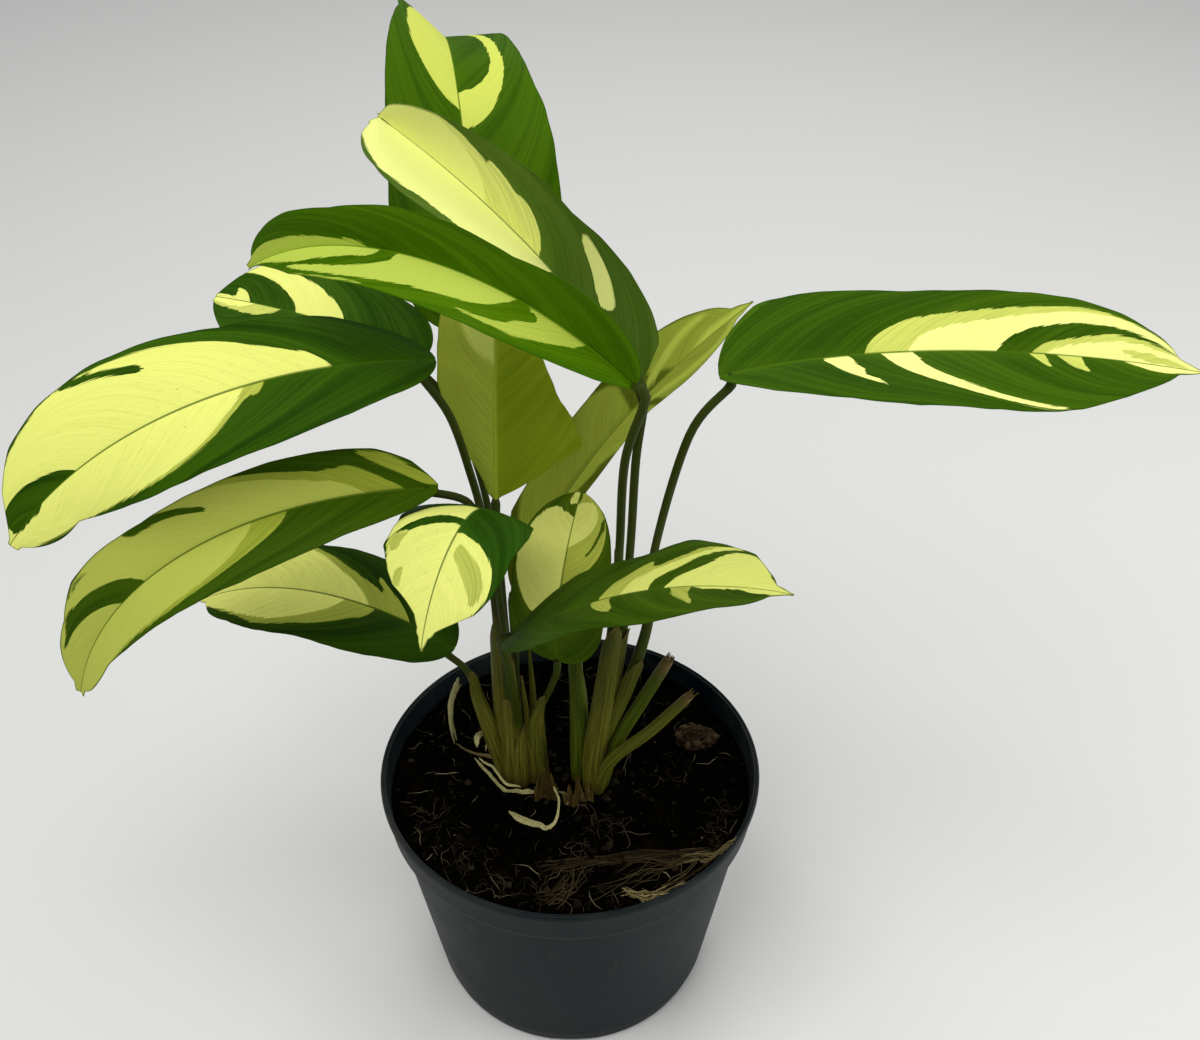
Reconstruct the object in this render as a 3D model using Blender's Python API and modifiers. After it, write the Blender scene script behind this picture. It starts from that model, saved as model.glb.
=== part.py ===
"""Potted calathea: a plastic nursery pot, its potting mix, two clumps of stalks and thirteen striped leaves.

Lengths are in metres and +Z is up. The origin is the centre of the pot's flat underside.
Leaves and stalks are placed in millimetres and degrees and are scaled when their meshes are made.
"""
import math
from collections import namedtuple

import bmesh
import bpy
import numpy as np
from mathutils import Matrix, Vector, noise
from mathutils.bvhtree import BVHTree

OBJECT_NAME = "potted_calathea"
MM = 0.001
GAP = 0.3
SPARE = 0.1
MERGE = 0.00001

# Pot, in millimetres
RIM_RADIUS = 85.0
POT_HEIGHT = 120.0
COLLAR_HEIGHT = 18.0
COLLAR_FOOT_RADIUS = 82.3
BODY_TOP_RADIUS = 79.6
FOOT_RADIUS = 63.0
FOOT_LINE_HEIGHT = 5.0
WALL = 1.8
FLOOR_UNDERSIDE = 3.0
FLOOR_TOP = 5.2
FLOOR_FILLET = 2.0
FOOT_RING_WIDTH = 4.0
CENTRE_PAD_RADIUS = 16.0
DRAIN_HOLES = 6
DRAIN_HOLE_RADIUS = 5.0
DRAIN_CIRCLE_RADIUS = 41.0
FOOT_NOTCHES = 4
FOOT_NOTCH_WIDTH = 16.0
FOOT_NOTCH_HEIGHT = 2.0
POT_SEGMENTS = 44
# The rolled lip, from the inside over the top: how far in from the rim and how far down from the top
LIP = ((2.7, 2.5), (2.2, 0.6), (1.3, 0.0), (0.4, 0.5), (0.0, 1.5), (0.0, 3.2), (0.8, 4.0))

# Potting mix
SOIL_TOP = 109.0
SOIL_RELIEF = 2.2
SOIL_LUMP_SIZE = 17.0
SOIL_RINGS = 7

# Clumps: centre on the soil, radius of the crown that the stalks grow from
LEFT_CROWN = (-20.0, 4.0, 13.0)
RIGHT_CROWN = (8.0, -3.0, 10.0)
CROWN_BOTTOM = 98.0
CROWN_TOP = 107.0
CROWN_SEGMENTS = 24
STALK_FOOT = 101.0

BLADE_THICKNESS = 0.7
PAPER_THICKNESS = 0.6
PULVINUS_LENGTH = 6.0
STALK_SPACING = 20.0
STALK_BEVEL_RESOLUTION = 2
STATIONS = (0.0, 0.03, 0.08, 0.15, 0.25, 0.37, 0.5, 0.62, 0.74, 0.84, 0.91, 0.96, 1.0)
ACROSS = (-1.0, -0.68, -0.34, 0.0, 0.34, 0.68, 1.0)

# Outline of a blade: shares of its length that the round base, the taper and the drip tip take, and how each
# of them curves
BASE_SHARE = 0.34
BASE_ROUNDNESS = 2.3
TAPER_START = 0.5
TAPER_ROUNDNESS = 2.4
TAPER_POWER = 0.62
DRIP_SHARE = 0.05
DRIP_SPREAD = 2.2
DRIP_WIDTH = 0.26
BASE_HALF_WIDTH = 1.3
TIP_HALF_WIDTH = 0.5
WAVES_PER_BLADE = 2.5

# Place of the base, heading and its turn, rise at the base and the tip, how late the blade bends, length,
# width, roll at the base and the tip, fold at the midrib, hollow across, wider side, wave of the margins,
# colour
Blade = namedtuple("Blade", "base azimuth turn pitch bend length width roll fold cup lean wave colour")
LIME = (0.42, 0.5, 0.08)
PALE_YELLOW = (0.78, 0.8, 0.22)
UNDERSIDE = (0.2, 0.27, 0.04)

LEAVES = {
    "leaf_top_back": Blade(
        (-37, 70, 303), 97, 6, (82, -62), 2.0, 171, 78, (-6, -28), 24, 0.03, 0, 1.0, LIME),
    "leaf_upper_pale": Blade(
        (27, 1, 319), 170, -40, (63, 4), 1.05, 152, 58, (9, 57), 50, 0.0, -0.18, 1.0, PALE_YELLOW),
    "leaf_upper_left": Blade(
        (25, -32, 341), 170, -22, (45, -41), 1.15, 171, 43, (58, 59), 46, 0.05, 0, 1.0, LIME),
    "leaf_far_left": Blade(
        (-55, 36, 311), 150, 0, (6, -10), 1.0, 114, 49, (3, 30), 16, 0.12, 0, 1.0, LIME),
    "leaf_long_left": Blade(
        (-46, -3, 334), 198, -14, (11, -58), 1.1, 191, 55, (10, 78), 8, 0.17, 0.1, 1.0, PALE_YELLOW),
    "leaf_second_left": Blade(
        (-47, -17, 287), 197, -16, (9, -79), 1.22, 190, 45, (42, 54), 24, 0.06, 0.02, 1.0, LIME),
    "leaf_low_left": Blade(
        (-47, -5, 195), 165, 0, (29, -36), 1.2, 125, 52, (6, 12), 10, 0.14, 0, 1.0, LIME),
    "leaf_front_small": Blade(
        (-28, -9, 265), 254, -5, (74, -69), 0.8, 90, 51, (5, -7), 0, 0.18, 0.1, 1.0, PALE_YELLOW),
    "leaf_low_right": Blade(
        (-21.5, -33, 227), -22, -6, (43, 9), 1.4, 129, 58, (5, 2), 11, 0.12, -0.05, 1.0, LIME),
    "leaf_inner_furled": Blade(
        (-4.5, -14, 196), 70, 2, (92, 28), 1.1, 79, 42, (0, 4), 14, 0.12, 0, 0.6, PALE_YELLOW),
    "leaf_tall_under": Blade(
        (-23, 27, 199), 26, -2, (72, 28), 0.75, 163, 47, (88, 90), 14, 0.05, 0, 1.0, UNDERSIDE),
    "leaf_middle_under": Blade(
        (-28, 8, 263), 262, 0, (98, 108), 1.0, 114, 66, (-22, -22), 28, 0.04, -0.3, 1.0, UNDERSIDE),
    "leaf_long_right": Blade(
        (57, -2, 326), 5, -7, (17, -10), 0.55, 181, 58, (-14, -31), 15, 0.1, 0, 1.0, LIME),
}

# How much of its outline each blade keeps: share of the length, then the left and the right side there. The
# last row is where the blade stops.
FULL_MARGINS = ((0.0, 1.0, 1.0), (1.0, 1.0, 1.0))
MARGINS = {
    "leaf_top_back": (
        (0.0, 1.0, 1.0), (0.3, 1.0, 0.97), (0.5, 1.0, 0.88), (0.6, 0.95, 0.8), (0.75, 0.8, 0.78),
        (0.87, 1.0, 0.9), (1.0, 1.0, 1.0),
    ),
    "leaf_upper_pale": (
        (0.0, 1.0, 0.5), (0.07, 1.0, 1.0), (0.3, 1.0, 0.97), (0.42, 1.0, 0.9), (0.5, 0.94, 1.0),
        (0.6, 0.86, 1.0), (0.8, 0.88, 1.0), (0.9, 1.0, 1.0), (0.955, 1.2, 0.7),
    ),
    "leaf_upper_left": (
        (0.0, 0.5, 1.0), (0.08, 0.72, 1.0), (0.22, 0.9, 0.97), (0.33, 0.97, 0.82),
        (0.44, 0.97, 0.97), (0.56, 0.9, 0.97), (0.68, 0.88, 0.84), (0.78, 0.88, 0.9),
        (0.86, 0.66, 0.87), (0.92, 0.45, 0.9), (0.97, 0.6, 1.0),
    ),
    "leaf_far_left": (
        (0.0, 1.0, 1.0), (0.8, 1.0, 1.0), (0.88, 0.9, 0.85), (0.95, 0.8, 0.6),
    ),
    "leaf_long_left": (
        (0.0, 0.92, 0.7), (0.1, 0.9, 0.77), (0.18, 0.95, 0.86), (0.38, 1.0, 0.82),
        (0.52, 1.0, 0.94), (0.62, 0.97, 0.98), (0.72, 0.88, 1.0), (0.8, 0.77, 0.97),
        (0.87, 1.0, 0.8), (0.93, 1.15, 0.4), (0.955, 1.3, 0.3),
    ),
    "leaf_second_left": (
        (0.0, 0.55, 0.5), (0.05, 0.66, 0.84), (0.12, 0.74, 0.92), (0.2, 0.79, 0.87),
        (0.3, 0.92, 0.86), (0.42, 0.99, 0.81), (0.55, 0.97, 0.81), (0.66, 0.9, 0.94),
        (0.73, 0.87, 1.0), (0.81, 0.83, 0.86), (0.87, 1.0, 0.95), (0.93, 1.2, 1.0),
        (0.965, 1.5, 1.2),
    ),
    "leaf_low_left": (
        (0.0, 0.8, 1.0), (0.1, 0.93, 1.0), (0.4, 0.97, 1.0), (0.6, 1.0, 1.0), (0.8, 0.89, 1.0),
        (0.9, 1.0, 1.0), (0.98, 1.0, 1.0),
    ),
    "leaf_front_small": (
        (0.0, 1.0, 1.0), (0.3, 1.0, 0.93), (0.45, 1.0, 0.89), (0.58, 1.0, 0.96), (0.7, 1.0, 0.84),
        (0.76, 1.0, 0.76), (0.81, 0.98, 0.52), (0.86, 0.76, 0.32), (0.91, 0.5, 0.3),
        (0.95, 0.7, 0.6), (1.0, 1.0, 1.0),
    ),
    "leaf_low_right": (
        (0.0, 1.0, 1.0), (0.35, 0.94, 1.0), (0.48, 0.89, 0.97), (0.58, 1.0, 0.94), (0.7, 1.0, 0.88),
        (0.83, 0.98, 0.84), (0.9, 0.78, 0.95), (0.95, 0.8, 1.0), (1.0, 1.0, 1.0),
    ),
    "leaf_inner_furled": (
        (0.0, 1.0, 1.0), (0.85, 1.0, 1.0), (0.95, 0.9, 0.9),
    ),
    "leaf_tall_under": (
        (0.0, 0.4, 0.4), (0.1, 0.4, 0.55), (0.22, 0.42, 0.83), (0.35, 0.46, 0.78), (0.5, 0.5, 0.78),
        (0.62, 0.46, 0.9), (0.7, 0.53, 0.9), (0.8, 0.68, 0.94), (0.88, 0.78, 0.95),
        (0.93, 0.9, 1.03), (0.97, 1.2, 1.3), (1.0, 1.0, 1.0),
    ),
    "leaf_middle_under": (
        (0.0, 1.0, 0.4), (0.03, 1.13, 0.37), (0.055, 1.2, 0.34), (0.08, 1.5, 0.38), (0.12, 1.3, 0.46),
        (0.16, 1.1, 0.57), (0.3, 0.77, 0.87), (0.42, 0.62, 1.0), (0.52, 0.5, 1.0),
        (0.7, 0.6, 1.0), (1.0, 1.0, 1.0),
    ),
    "leaf_long_right": (
        (0.0, 1.1, 0.5), (0.03, 1.25, 0.55), (0.1, 1.28, 0.68), (0.15, 1.15, 0.71),
        (0.25, 1.0, 0.79), (0.38, 0.94, 1.0), (0.52, 0.87, 1.02),
        (0.62, 0.88, 1.02), (0.72, 0.96, 1.0), (0.82, 1.0, 0.88), (0.88, 0.96, 0.76),
        (0.94, 1.0, 0.7), (1.0, 1.0, 1.0),
    ),
}

# Stalks: where along the blade they meet it, points between the crown and the leaf, then the radius at the
# soil and the radius of the slender part
Stalk = namedtuple("Stalk", "leaf seat points foot_radius slender_radius")
LEFT_STALKS = (
    Stalk("leaf_long_left", 0.03,
          ((-29, 4, 156), (-30, 5, 209), (-33, 3, 255), (-37, 2, 281), (-43, 0, 308)), 2.8, 1.6),
    Stalk("leaf_second_left", 0.02, ((-26, 0, 159), (-28, 4, 205), (-34, 7, 240), (-38, 1, 266)), 2.8, 1.6),
    Stalk("leaf_low_left", 0.02, ((-29.5, 3, 114), (-34, 2, 136), (-39, 0, 160), (-43, -3, 180)), 3.0, 1.5),
    Stalk("leaf_front_small", 0.0, ((-26, 4, 160), (-27, 1, 200), (-28, -6, 238)), 2.8, 1.5),
    Stalk("leaf_low_right", 0.0, ((-22, -2, 143), (-23, -10, 172), (-24, -24, 204)), 2.8, 1.6),
    Stalk("leaf_inner_furled", 0.0, ((-15, 2, 125), (-14, -4, 153), (-8, -11, 176)), 3.0, 1.4),
    Stalk("leaf_tall_under", 0.0, ((-24, 12, 148), (-24, 20, 176)), 3.0, 1.8),
    Stalk("leaf_middle_under", 0.0, ((-26, 7, 160), (-27, 7, 207), (-28, 8, 240)), 2.8, 1.6),
    Stalk("leaf_far_left", 0.05,
          ((-26, 10, 150), (-28, 14, 190), (-30, 20, 225), (-36, 28, 262), (-47, 36, 290)), 2.8, 1.5),
)
RIGHT_STALKS = (
    Stalk("leaf_upper_left", 0.0,
          ((11, -5, 130), (15, -7, 168), (19, -9, 210), (21, -13, 255), (22.5, -24, 304)), 4.2, 1.7),
    Stalk("leaf_upper_pale", 0.0,
          ((11, -1, 130), (17, -2, 165), (23, -3, 208), (25.5, -4, 250), (27, -4, 290)), 4.0, 1.7),
    Stalk("leaf_long_right", 0.02,
          ((12, -2, 130), (17, -4, 150), (25, -4, 173), (33, -4, 207), (35, -3, 245), (47, -2, 300)),
          3.4, 1.7),
    Stalk("leaf_top_back", 0.0, ((4, 2, 144), (3, 16, 172), (2, 42, 205), (-12, 62, 245)), 3.2, 1.8),
)

# Cut stubs and the young spike of the right clump: points, radius at the foot, radius at the end
STUBS = (
    (((12, -3, 106), (20, -4, 136), (31, -5, 163), (42, -6, 189)), 3.4, 2.6),
    (((10, -6, 106), (18, -9, 131), (35, -12, 153), (51, -14, 176)), 3.2, 2.2),
    (((13, -2, 106), (19, -2, 175), (20, -2, 215), (20, -2, 245)), 2.0, 1.0),
)
# Short papery sheaths between the stalks of the left clump
SHEATHS = (
    (((-17, 0, 106), (-18, -1, 140), (-19, -2, 172)), 3.0, 0.9),
    (((-23, -2, 106), (-25, -1, 150), (-26, 0, 190)), 3.0, 1.2),
)
SHEATH_SHARE = 0.62
SHEATH_TAPER = 1.3
PULVINUS_RUN = 1.4
PULVINUS_SWELL = 0.18
STALK_INSET = 0.8

BRACT_COLOUR = (0.12, 0.07, 0.03)
BRACT_STATIONS = (0.0, 0.2, 0.45, 0.7, 0.9, 1.0)
BRACT_ACROSS = (-1.0, -0.5, 0.0, 0.5, 1.0)
BRACTS = {
    "bract_left": Blade(
        (-11, -11.5, 0), 100, 0, (80, 88), 1.0, 17, 10, (12, 12), 8, 0.3, 0, 0.0, BRACT_COLOUR),
    "bract_right": Blade(
        (3, -17.5, 0), 95, 0, (72, 95), 1.0, 13, 9, (0, 0), 8, 0.3, 0, 0.0, BRACT_COLOUR),
}

# Dry leaf strips on the soil: points over the soil with their height above it, then the width
DRY_STRIPS = {
    "dry_strip_standing": (((-37, 9, 0), (-46, 12, 3), (-55, 15, 14), (-54, 18, 32), (-49, 20, 48)), 3.0),
    "dry_strip_looped": (((-46, 4, 8), (-41, -1, 2), (-35, -9, 0), (-24, -14, 2), (-9, -16, 0)), 2.6),
    "dry_strip_curled": (((-2, -20, 5), (0, -27, 2), (-7, -34, 1), (-18, -33, 0), (-29, -25, 1)), 3.2),
}
STRIP_SPACING = 4.0
STRIP_CLEARANCE = GAP + 0.5

# Fibrous roots lying on the soil by the front right rim: ends, sideways bow, radius
ROOTS = (
    ((-12, -57), (61, -43), 5.0, 1.0),
    ((-4, -66), (58, -42), -4.0, 0.9),
    ((8, -47), (50, -60), 3.0, 0.9),
    ((22, -67), (63, -37), 3.0, 0.8),
    ((12, -68), (40, -43), -3.0, 0.8),
    ((36, -62), (60, -47), -2.0, 0.8),
)
ROOT_SPACING = 11.0
CLOD_CENTRE = (58.0, 24.0)
CLOD_SIZE = (9.0, 6.5, 4.5)


def to_metres(points):
    return [Vector(point) * MM for point in points]


def make_material(name, colour, roughness):
    material = bpy.data.materials.new(name)
    material.use_nodes = True
    shader = material.node_tree.nodes["Principled BSDF"]
    shader.inputs["Base Color"].default_value = (*colour, 1.0)
    shader.inputs["Roughness"].default_value = roughness
    shader.inputs["Metallic"].default_value = 0.0
    return material


def add_object(name, mesh, collection, colour=None, roughness=0.5):
    obj = bpy.data.objects.new(name, mesh)
    collection.objects.link(obj)
    if colour:
        mesh.materials.clear()
        mesh.materials.append(make_material(name, colour, roughness))
    return obj


def evaluated_mesh(obj):
    """The object's mesh with its modifiers applied and its caps welded."""
    graph = bpy.context.evaluated_depsgraph_get()
    mesh = bpy.data.meshes.new_from_object(obj.evaluated_get(graph))
    work = bmesh.new()
    work.from_mesh(mesh)
    bmesh.ops.remove_doubles(work, verts=work.verts, dist=MERGE)
    work.to_mesh(mesh)
    work.free()
    return mesh


def smooth_route(points, spacing):
    """A Catmull-Rom curve through the points, read about every `spacing`."""
    knots = [np.array(point, float) for point in points]
    padded = [2 * knots[0] - knots[1], *knots, 2 * knots[-1] - knots[-2]]
    route = [knots[0]]
    for before, start, end, after in zip(padded, padded[1:], padded[2:], padded[3:]):
        steps = max(1, round(np.linalg.norm(end - start) / spacing))
        for t in np.linspace(0, 1, steps + 1)[1:]:
            bend = 2 * before - 5 * start + 4 * end - after
            twist = 3 * start - before - 3 * end + after
            route.append(0.5 * (2 * start + (end - before) * t + bend * t**2 + twist * t**3))
    return np.array(route)


def make_tube(name, route, radii, collection, resolution=STALK_BEVEL_RESOLUTION):
    """A capped round tube along the route, as a mesh object."""
    curve = bpy.data.curves.new(name, "CURVE")
    curve.dimensions = "3D"
    curve.bevel_depth = 1.0
    curve.bevel_resolution = resolution
    curve.use_fill_caps = True
    spline = curve.splines.new("POLY")
    spline.points.add(len(route) - 1)
    for point, place, radius in zip(spline.points, to_metres(route), radii):
        point.co = (*place, 1.0)
        point.radius = radius * MM
    guide = add_object(name + "_guide", curve, collection)
    tube = add_object(name, evaluated_mesh(guide), collection)
    bpy.data.objects.remove(guide)
    return tube


def fill_sealed_hollows(mesh):
    """Keep the outer surface alone: a pocket closed in between joined tubes becomes solid."""
    work = bmesh.new()
    work.from_mesh(mesh)
    waiting = set(work.verts)
    bodies = []
    while waiting:
        front = [waiting.pop()]
        body = set(front)
        while front:
            near = {edge.other_vert(front[0]) for edge in front[0].link_edges}
            found = near - body
            body |= found
            front = [*front[1:], *found]
        waiting -= body
        bodies.append(body)
    bodies.sort(key=len)
    inner = [vertex for body in bodies[:-1] for vertex in body]
    bmesh.ops.delete(work, geom=inner, context="VERTS")
    work.to_mesh(mesh)
    work.free()


def join_by_union(name, first, others, parts, colour, roughness=0.5):
    """One solid from the first object and a collection of others, which are removed afterwards."""
    union = first.modifiers.new("Union", "BOOLEAN")
    union.operation = "UNION"
    union.operand_type = "COLLECTION"
    union.solver = "EXACT"
    union.collection = others
    mesh = evaluated_mesh(first)
    fill_sealed_hollows(mesh)
    joined = add_object(name, mesh, parts, colour, roughness)
    for obj in [first, *others.objects]:
        bpy.data.objects.remove(obj)
    bpy.data.collections.remove(others)
    return joined


def cut(obj, cutter):
    cutter.display_type = "WIRE"
    cutter.hide_render = True
    difference = obj.modifiers.new(cutter.name, "BOOLEAN")
    difference.operation = "DIFFERENCE"
    difference.object = cutter
    difference.solver = "EXACT"


def add_cylinder(name, centre, radius, bottom, top, collection, segments=32):
    mesh = bpy.data.meshes.new(name)
    work = bmesh.new()
    bmesh.ops.create_cone(
        work,
        cap_ends=True,
        segments=segments,
        radius1=radius * MM,
        radius2=radius * MM,
        depth=(top - bottom) * MM,
        matrix=Matrix.Translation(Vector((centre[0], centre[1], (top + bottom) / 2)) * MM),
    )
    work.to_mesh(mesh)
    work.free()
    return add_object(name, mesh, collection)


def turn_profile(name, profile, segments, collection):
    """A solid turned about the vertical axis from its outline of radius and height."""
    mesh = bpy.data.meshes.new(name)
    edges = [(i, i + 1) for i in range(len(profile) - 1)]
    mesh.from_pydata([(radius * MM, 0.0, height * MM) for radius, height in profile], edges, [])
    turned = add_object(name, mesh, collection)
    screw = turned.modifiers.new("Screw", "SCREW")
    screw.steps = segments
    screw.render_steps = segments
    screw.use_merge_vertices = True
    screw.merge_threshold = MERGE
    return turned


def body_radius(height):
    """Outer radius of the pot's tapered body."""
    share = (height - FOOT_LINE_HEIGHT) / (POT_HEIGHT - COLLAR_HEIGHT - FOOT_LINE_HEIGHT)
    return FOOT_RADIUS + (BODY_TOP_RADIUS - FOOT_RADIUS) * share


def pot_profile():
    """From the centre of the inner floor, up the inside, over the lip, down the outside, under the foot."""
    collar_bottom = POT_HEIGHT - COLLAR_HEIGHT
    ring_inner = FOOT_RADIUS - FOOT_RING_WIDTH
    return [
        (0.0, FLOOR_TOP),
        (body_radius(FLOOR_TOP) - WALL - FLOOR_FILLET, FLOOR_TOP),
        (body_radius(FLOOR_TOP + FLOOR_FILLET) - WALL, FLOOR_TOP + FLOOR_FILLET),
        (BODY_TOP_RADIUS - WALL, collar_bottom - 1),
        (COLLAR_FOOT_RADIUS - WALL, collar_bottom + 2.5),
        *[(RIM_RADIUS - inward, POT_HEIGHT - down) for inward, down in LIP],
        (COLLAR_FOOT_RADIUS + 0.2, collar_bottom + 1.2),
        (COLLAR_FOOT_RADIUS - 0.6, collar_bottom),
        (BODY_TOP_RADIUS, collar_bottom - 0.5),
        (body_radius(FOOT_LINE_HEIGHT + 1), FOOT_LINE_HEIGHT + 1),
        (FOOT_RADIUS - 0.9, FOOT_LINE_HEIGHT),
        (FOOT_RADIUS - 1.2, 0.0),
        (ring_inner, 0.0),
        (ring_inner - 0.5, FLOOR_UNDERSIDE),
        (CENTRE_PAD_RADIUS + 1.0, FLOOR_UNDERSIDE),
        (CENTRE_PAD_RADIUS, 0.0),
        (0.0, 0.0),
    ]


def inner_radius(height):
    """Radius of the pot's inside, between the floor's fillet and the lip."""
    collar_bottom = POT_HEIGHT - COLLAR_HEIGHT
    inward, down = LIP[0]
    lowest = FLOOR_TOP + FLOOR_FILLET
    heights = (lowest, collar_bottom - 1, collar_bottom + 2.5, POT_HEIGHT - down)
    outer = (body_radius(lowest), BODY_TOP_RADIUS, COLLAR_FOOT_RADIUS, RIM_RADIUS - inward + WALL)
    return float(np.interp(height, heights, outer)) - WALL


def build_pot(parts, cutters):
    pot = turn_profile("pot", pot_profile(), POT_SEGMENTS, parts)
    pot.data.materials.append(make_material("pot", (0.028, 0.036, 0.036), 0.42))
    for i in range(DRAIN_HOLES):
        angle = math.tau * (i + 0.5) / DRAIN_HOLES
        centre = (DRAIN_CIRCLE_RADIUS * math.cos(angle), DRAIN_CIRCLE_RADIUS * math.sin(angle))
        top = FLOOR_TOP + FLOOR_FILLET
        hole = add_cylinder(f"drain_hole_{i + 1}", centre, DRAIN_HOLE_RADIUS, -1, top, cutters, 16)
        cut(pot, hole)
    for i in range(FOOT_NOTCHES):
        mesh = bpy.data.meshes.new(f"foot_notch_{i + 1}")
        work = bmesh.new()
        bmesh.ops.create_cube(work, size=1.0)
        work.to_mesh(mesh)
        work.free()
        notch = add_object(mesh.name, mesh, cutters)
        notch.scale = Vector((FOOT_RING_WIDTH + 8, FOOT_NOTCH_WIDTH, 2 * FOOT_NOTCH_HEIGHT)) * MM
        angle = math.tau * i / FOOT_NOTCHES - math.pi / 2
        notch.rotation_euler.z = angle
        outward = Vector((math.cos(angle), math.sin(angle), 0.0))
        notch.location = outward * (FOOT_RADIUS - FOOT_RING_WIDTH / 2) * MM
        cut(pot, notch)
    return pot


def soil_relief(x, y):
    """Height of the lumpy soil over its mean level, in millimetres."""
    broad = noise.noise(Vector((x, y, 0.0)) / SOIL_LUMP_SIZE)
    fine = noise.noise(Vector((x, y, 50.0)) / (0.45 * SOIL_LUMP_SIZE))
    return SOIL_RELIEF * (broad + 0.4 * fine)


def soil_profile():
    """From the centre of the top, out to the wall, down inside the pot and back along the floor."""
    edge = inner_radius(SOIL_TOP) - GAP
    collar_bottom = POT_HEIGHT - COLLAR_HEIGHT
    heights = (SOIL_TOP, collar_bottom + 2.5, collar_bottom - 1, FLOOR_TOP + 2.2)
    top = [(edge * i / SOIL_RINGS, SOIL_TOP) for i in range(SOIL_RINGS)]
    side = [(inner_radius(height) - GAP - SPARE, height) for height in heights]
    corner = (side[-1][0] - FLOOR_FILLET, FLOOR_TOP + GAP)
    return [*top, *side, corner, (0.0, FLOOR_TOP + GAP)]


def build_soil(parts, cutters):
    turned = turn_profile("soil_turned", soil_profile(), POT_SEGMENTS, cutters)
    mesh = evaluated_mesh(turned)
    bpy.data.objects.remove(turned)
    for vertex in mesh.vertices:
        if vertex.co.z > (SOIL_TOP - SPARE) * MM:
            vertex.co.z += soil_relief(vertex.co.x / MM, vertex.co.y / MM) * MM
    triangulate(mesh)
    soil = add_object("potting_mix", mesh, parts, (0.012, 0.008, 0.006), 0.95)
    for name, (x, y, radius) in (("left_crown_hole", LEFT_CROWN), ("right_crown_hole", RIGHT_CROWN)):
        size = (radius + GAP, CROWN_BOTTOM - GAP, POT_HEIGHT)
        cut(soil, add_cylinder(name, (x, y), *size, cutters, CROWN_SEGMENTS))
    return soil


def triangulate(mesh):
    work = bmesh.new()
    work.from_mesh(mesh)
    bmesh.ops.triangulate(work, faces=work.faces)
    work.to_mesh(mesh)
    work.free()


def blade_outline(u):
    """Half width at the share u of the length, as a share of the widest: round base, flank, drip tip."""
    rise = math.sqrt(1 - max(0.0, 1 - u / BASE_SHARE) ** BASE_ROUNDNESS)
    taper = max(0.0, u - TAPER_START) / (1 - DRIP_SHARE - TAPER_START)
    fall = (1 - min(1.0, taper) ** TAPER_ROUNDNESS) ** TAPER_POWER
    drip = DRIP_WIDTH * (1 - u) / (DRIP_SPREAD * DRIP_SHARE) if u > 1 - DRIP_SPREAD * DRIP_SHARE else 0.0
    return max(rise * fall, drip)


def blade_frames(blade, stations):
    """Place, direction, rightward and upward unit vectors of the midrib at each station."""
    fine = np.linspace(0, 1, 121)
    pitch = np.radians(blade.pitch[0] + (blade.pitch[1] - blade.pitch[0]) * fine**blade.bend)
    azimuth = np.radians(blade.azimuth + blade.turn * fine)
    flat = np.cos(pitch)
    along = np.stack([np.cos(azimuth) * flat, np.sin(azimuth) * flat, np.sin(pitch)], 1)
    steps = (along[1:] + along[:-1]) / 2 * blade.length / (len(fine) - 1)
    places = np.array(blade.base, float) + np.concatenate([np.zeros((1, 3)), np.cumsum(steps, 0)])
    level = np.stack([np.sin(azimuth), -np.cos(azimuth), 0 * azimuth], 1)
    upright = np.cross(level, along)
    roll = np.radians(blade.roll[0] + (blade.roll[1] - blade.roll[0]) * fine)[:, None]
    right = np.cos(roll) * level + np.sin(roll) * upright
    up = np.cos(roll) * upright - np.sin(roll) * level
    picked = [round(u * (len(fine) - 1)) for u in stations]
    return places[picked], along[picked], right[picked], up[picked]


def half_width(blade, margins, u, side):
    """Half width at the share u of the length, on the left for a side of -1 and on the right for 1."""
    shares, left, right = zip(*margins)
    kept = np.interp(u, shares, left if side < 0 else right)
    least = BASE_HALF_WIDTH + (TIP_HALF_WIDTH - BASE_HALF_WIDTH) * u
    return max(least, blade.width / 2 * blade_outline(u) * (1 + side * blade.lean) * kept)


def blade_rows(blade, stations, across, margins=FULL_MARGINS):
    """Rows of points over the blade, from base to tip and from the left margin to the right one."""
    stations = [u * margins[-1][0] for u in stations]
    places, _, rights, ups = blade_frames(blade, stations)
    fold = math.radians(blade.fold)
    rows = []
    for u, place, right, up in zip(stations, places, rights, ups):
        row = []
        for share in across:
            side = math.copysign(1.0, share)
            half = half_width(blade, margins, u, side)
            ripple = blade.wave * math.sin(math.tau * WAVES_PER_BLADE * u + side) * blade_outline(u)
            sideways = half * share * math.cos(fold)
            rise = half * (abs(share) * math.sin(fold) - blade.cup * share**2) + ripple * share**2
            row.append(place + sideways * right + rise * up)
        rows.append(row)
    return rows


def shell_from_rows(name, rows, thickness, parts, colour, roughness):
    """A thin closed solid on a loft through the rows, in triangles that are alike on both faces."""
    columns = len(rows[0])
    points = [tuple(Vector(point) * MM) for row in rows for point in row]
    faces = []
    for i in range(len(rows) - 1):
        for j in range(columns - 1):
            corner = i * columns + j
            near, far = (corner, corner + 1), (corner + columns, corner + columns + 1)
            faces.append((near[0], near[1], far[1]))
            faces.append((near[0], far[1], far[0]))
    mesh = bpy.data.meshes.new(name)
    mesh.from_pydata(points, [], faces)
    shell = add_object(name, mesh, parts, colour, roughness)
    solidify = shell.modifiers.new("Thickness", "SOLIDIFY")
    solidify.thickness = thickness * MM
    solidify.offset = 0.0
    return shell


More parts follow.
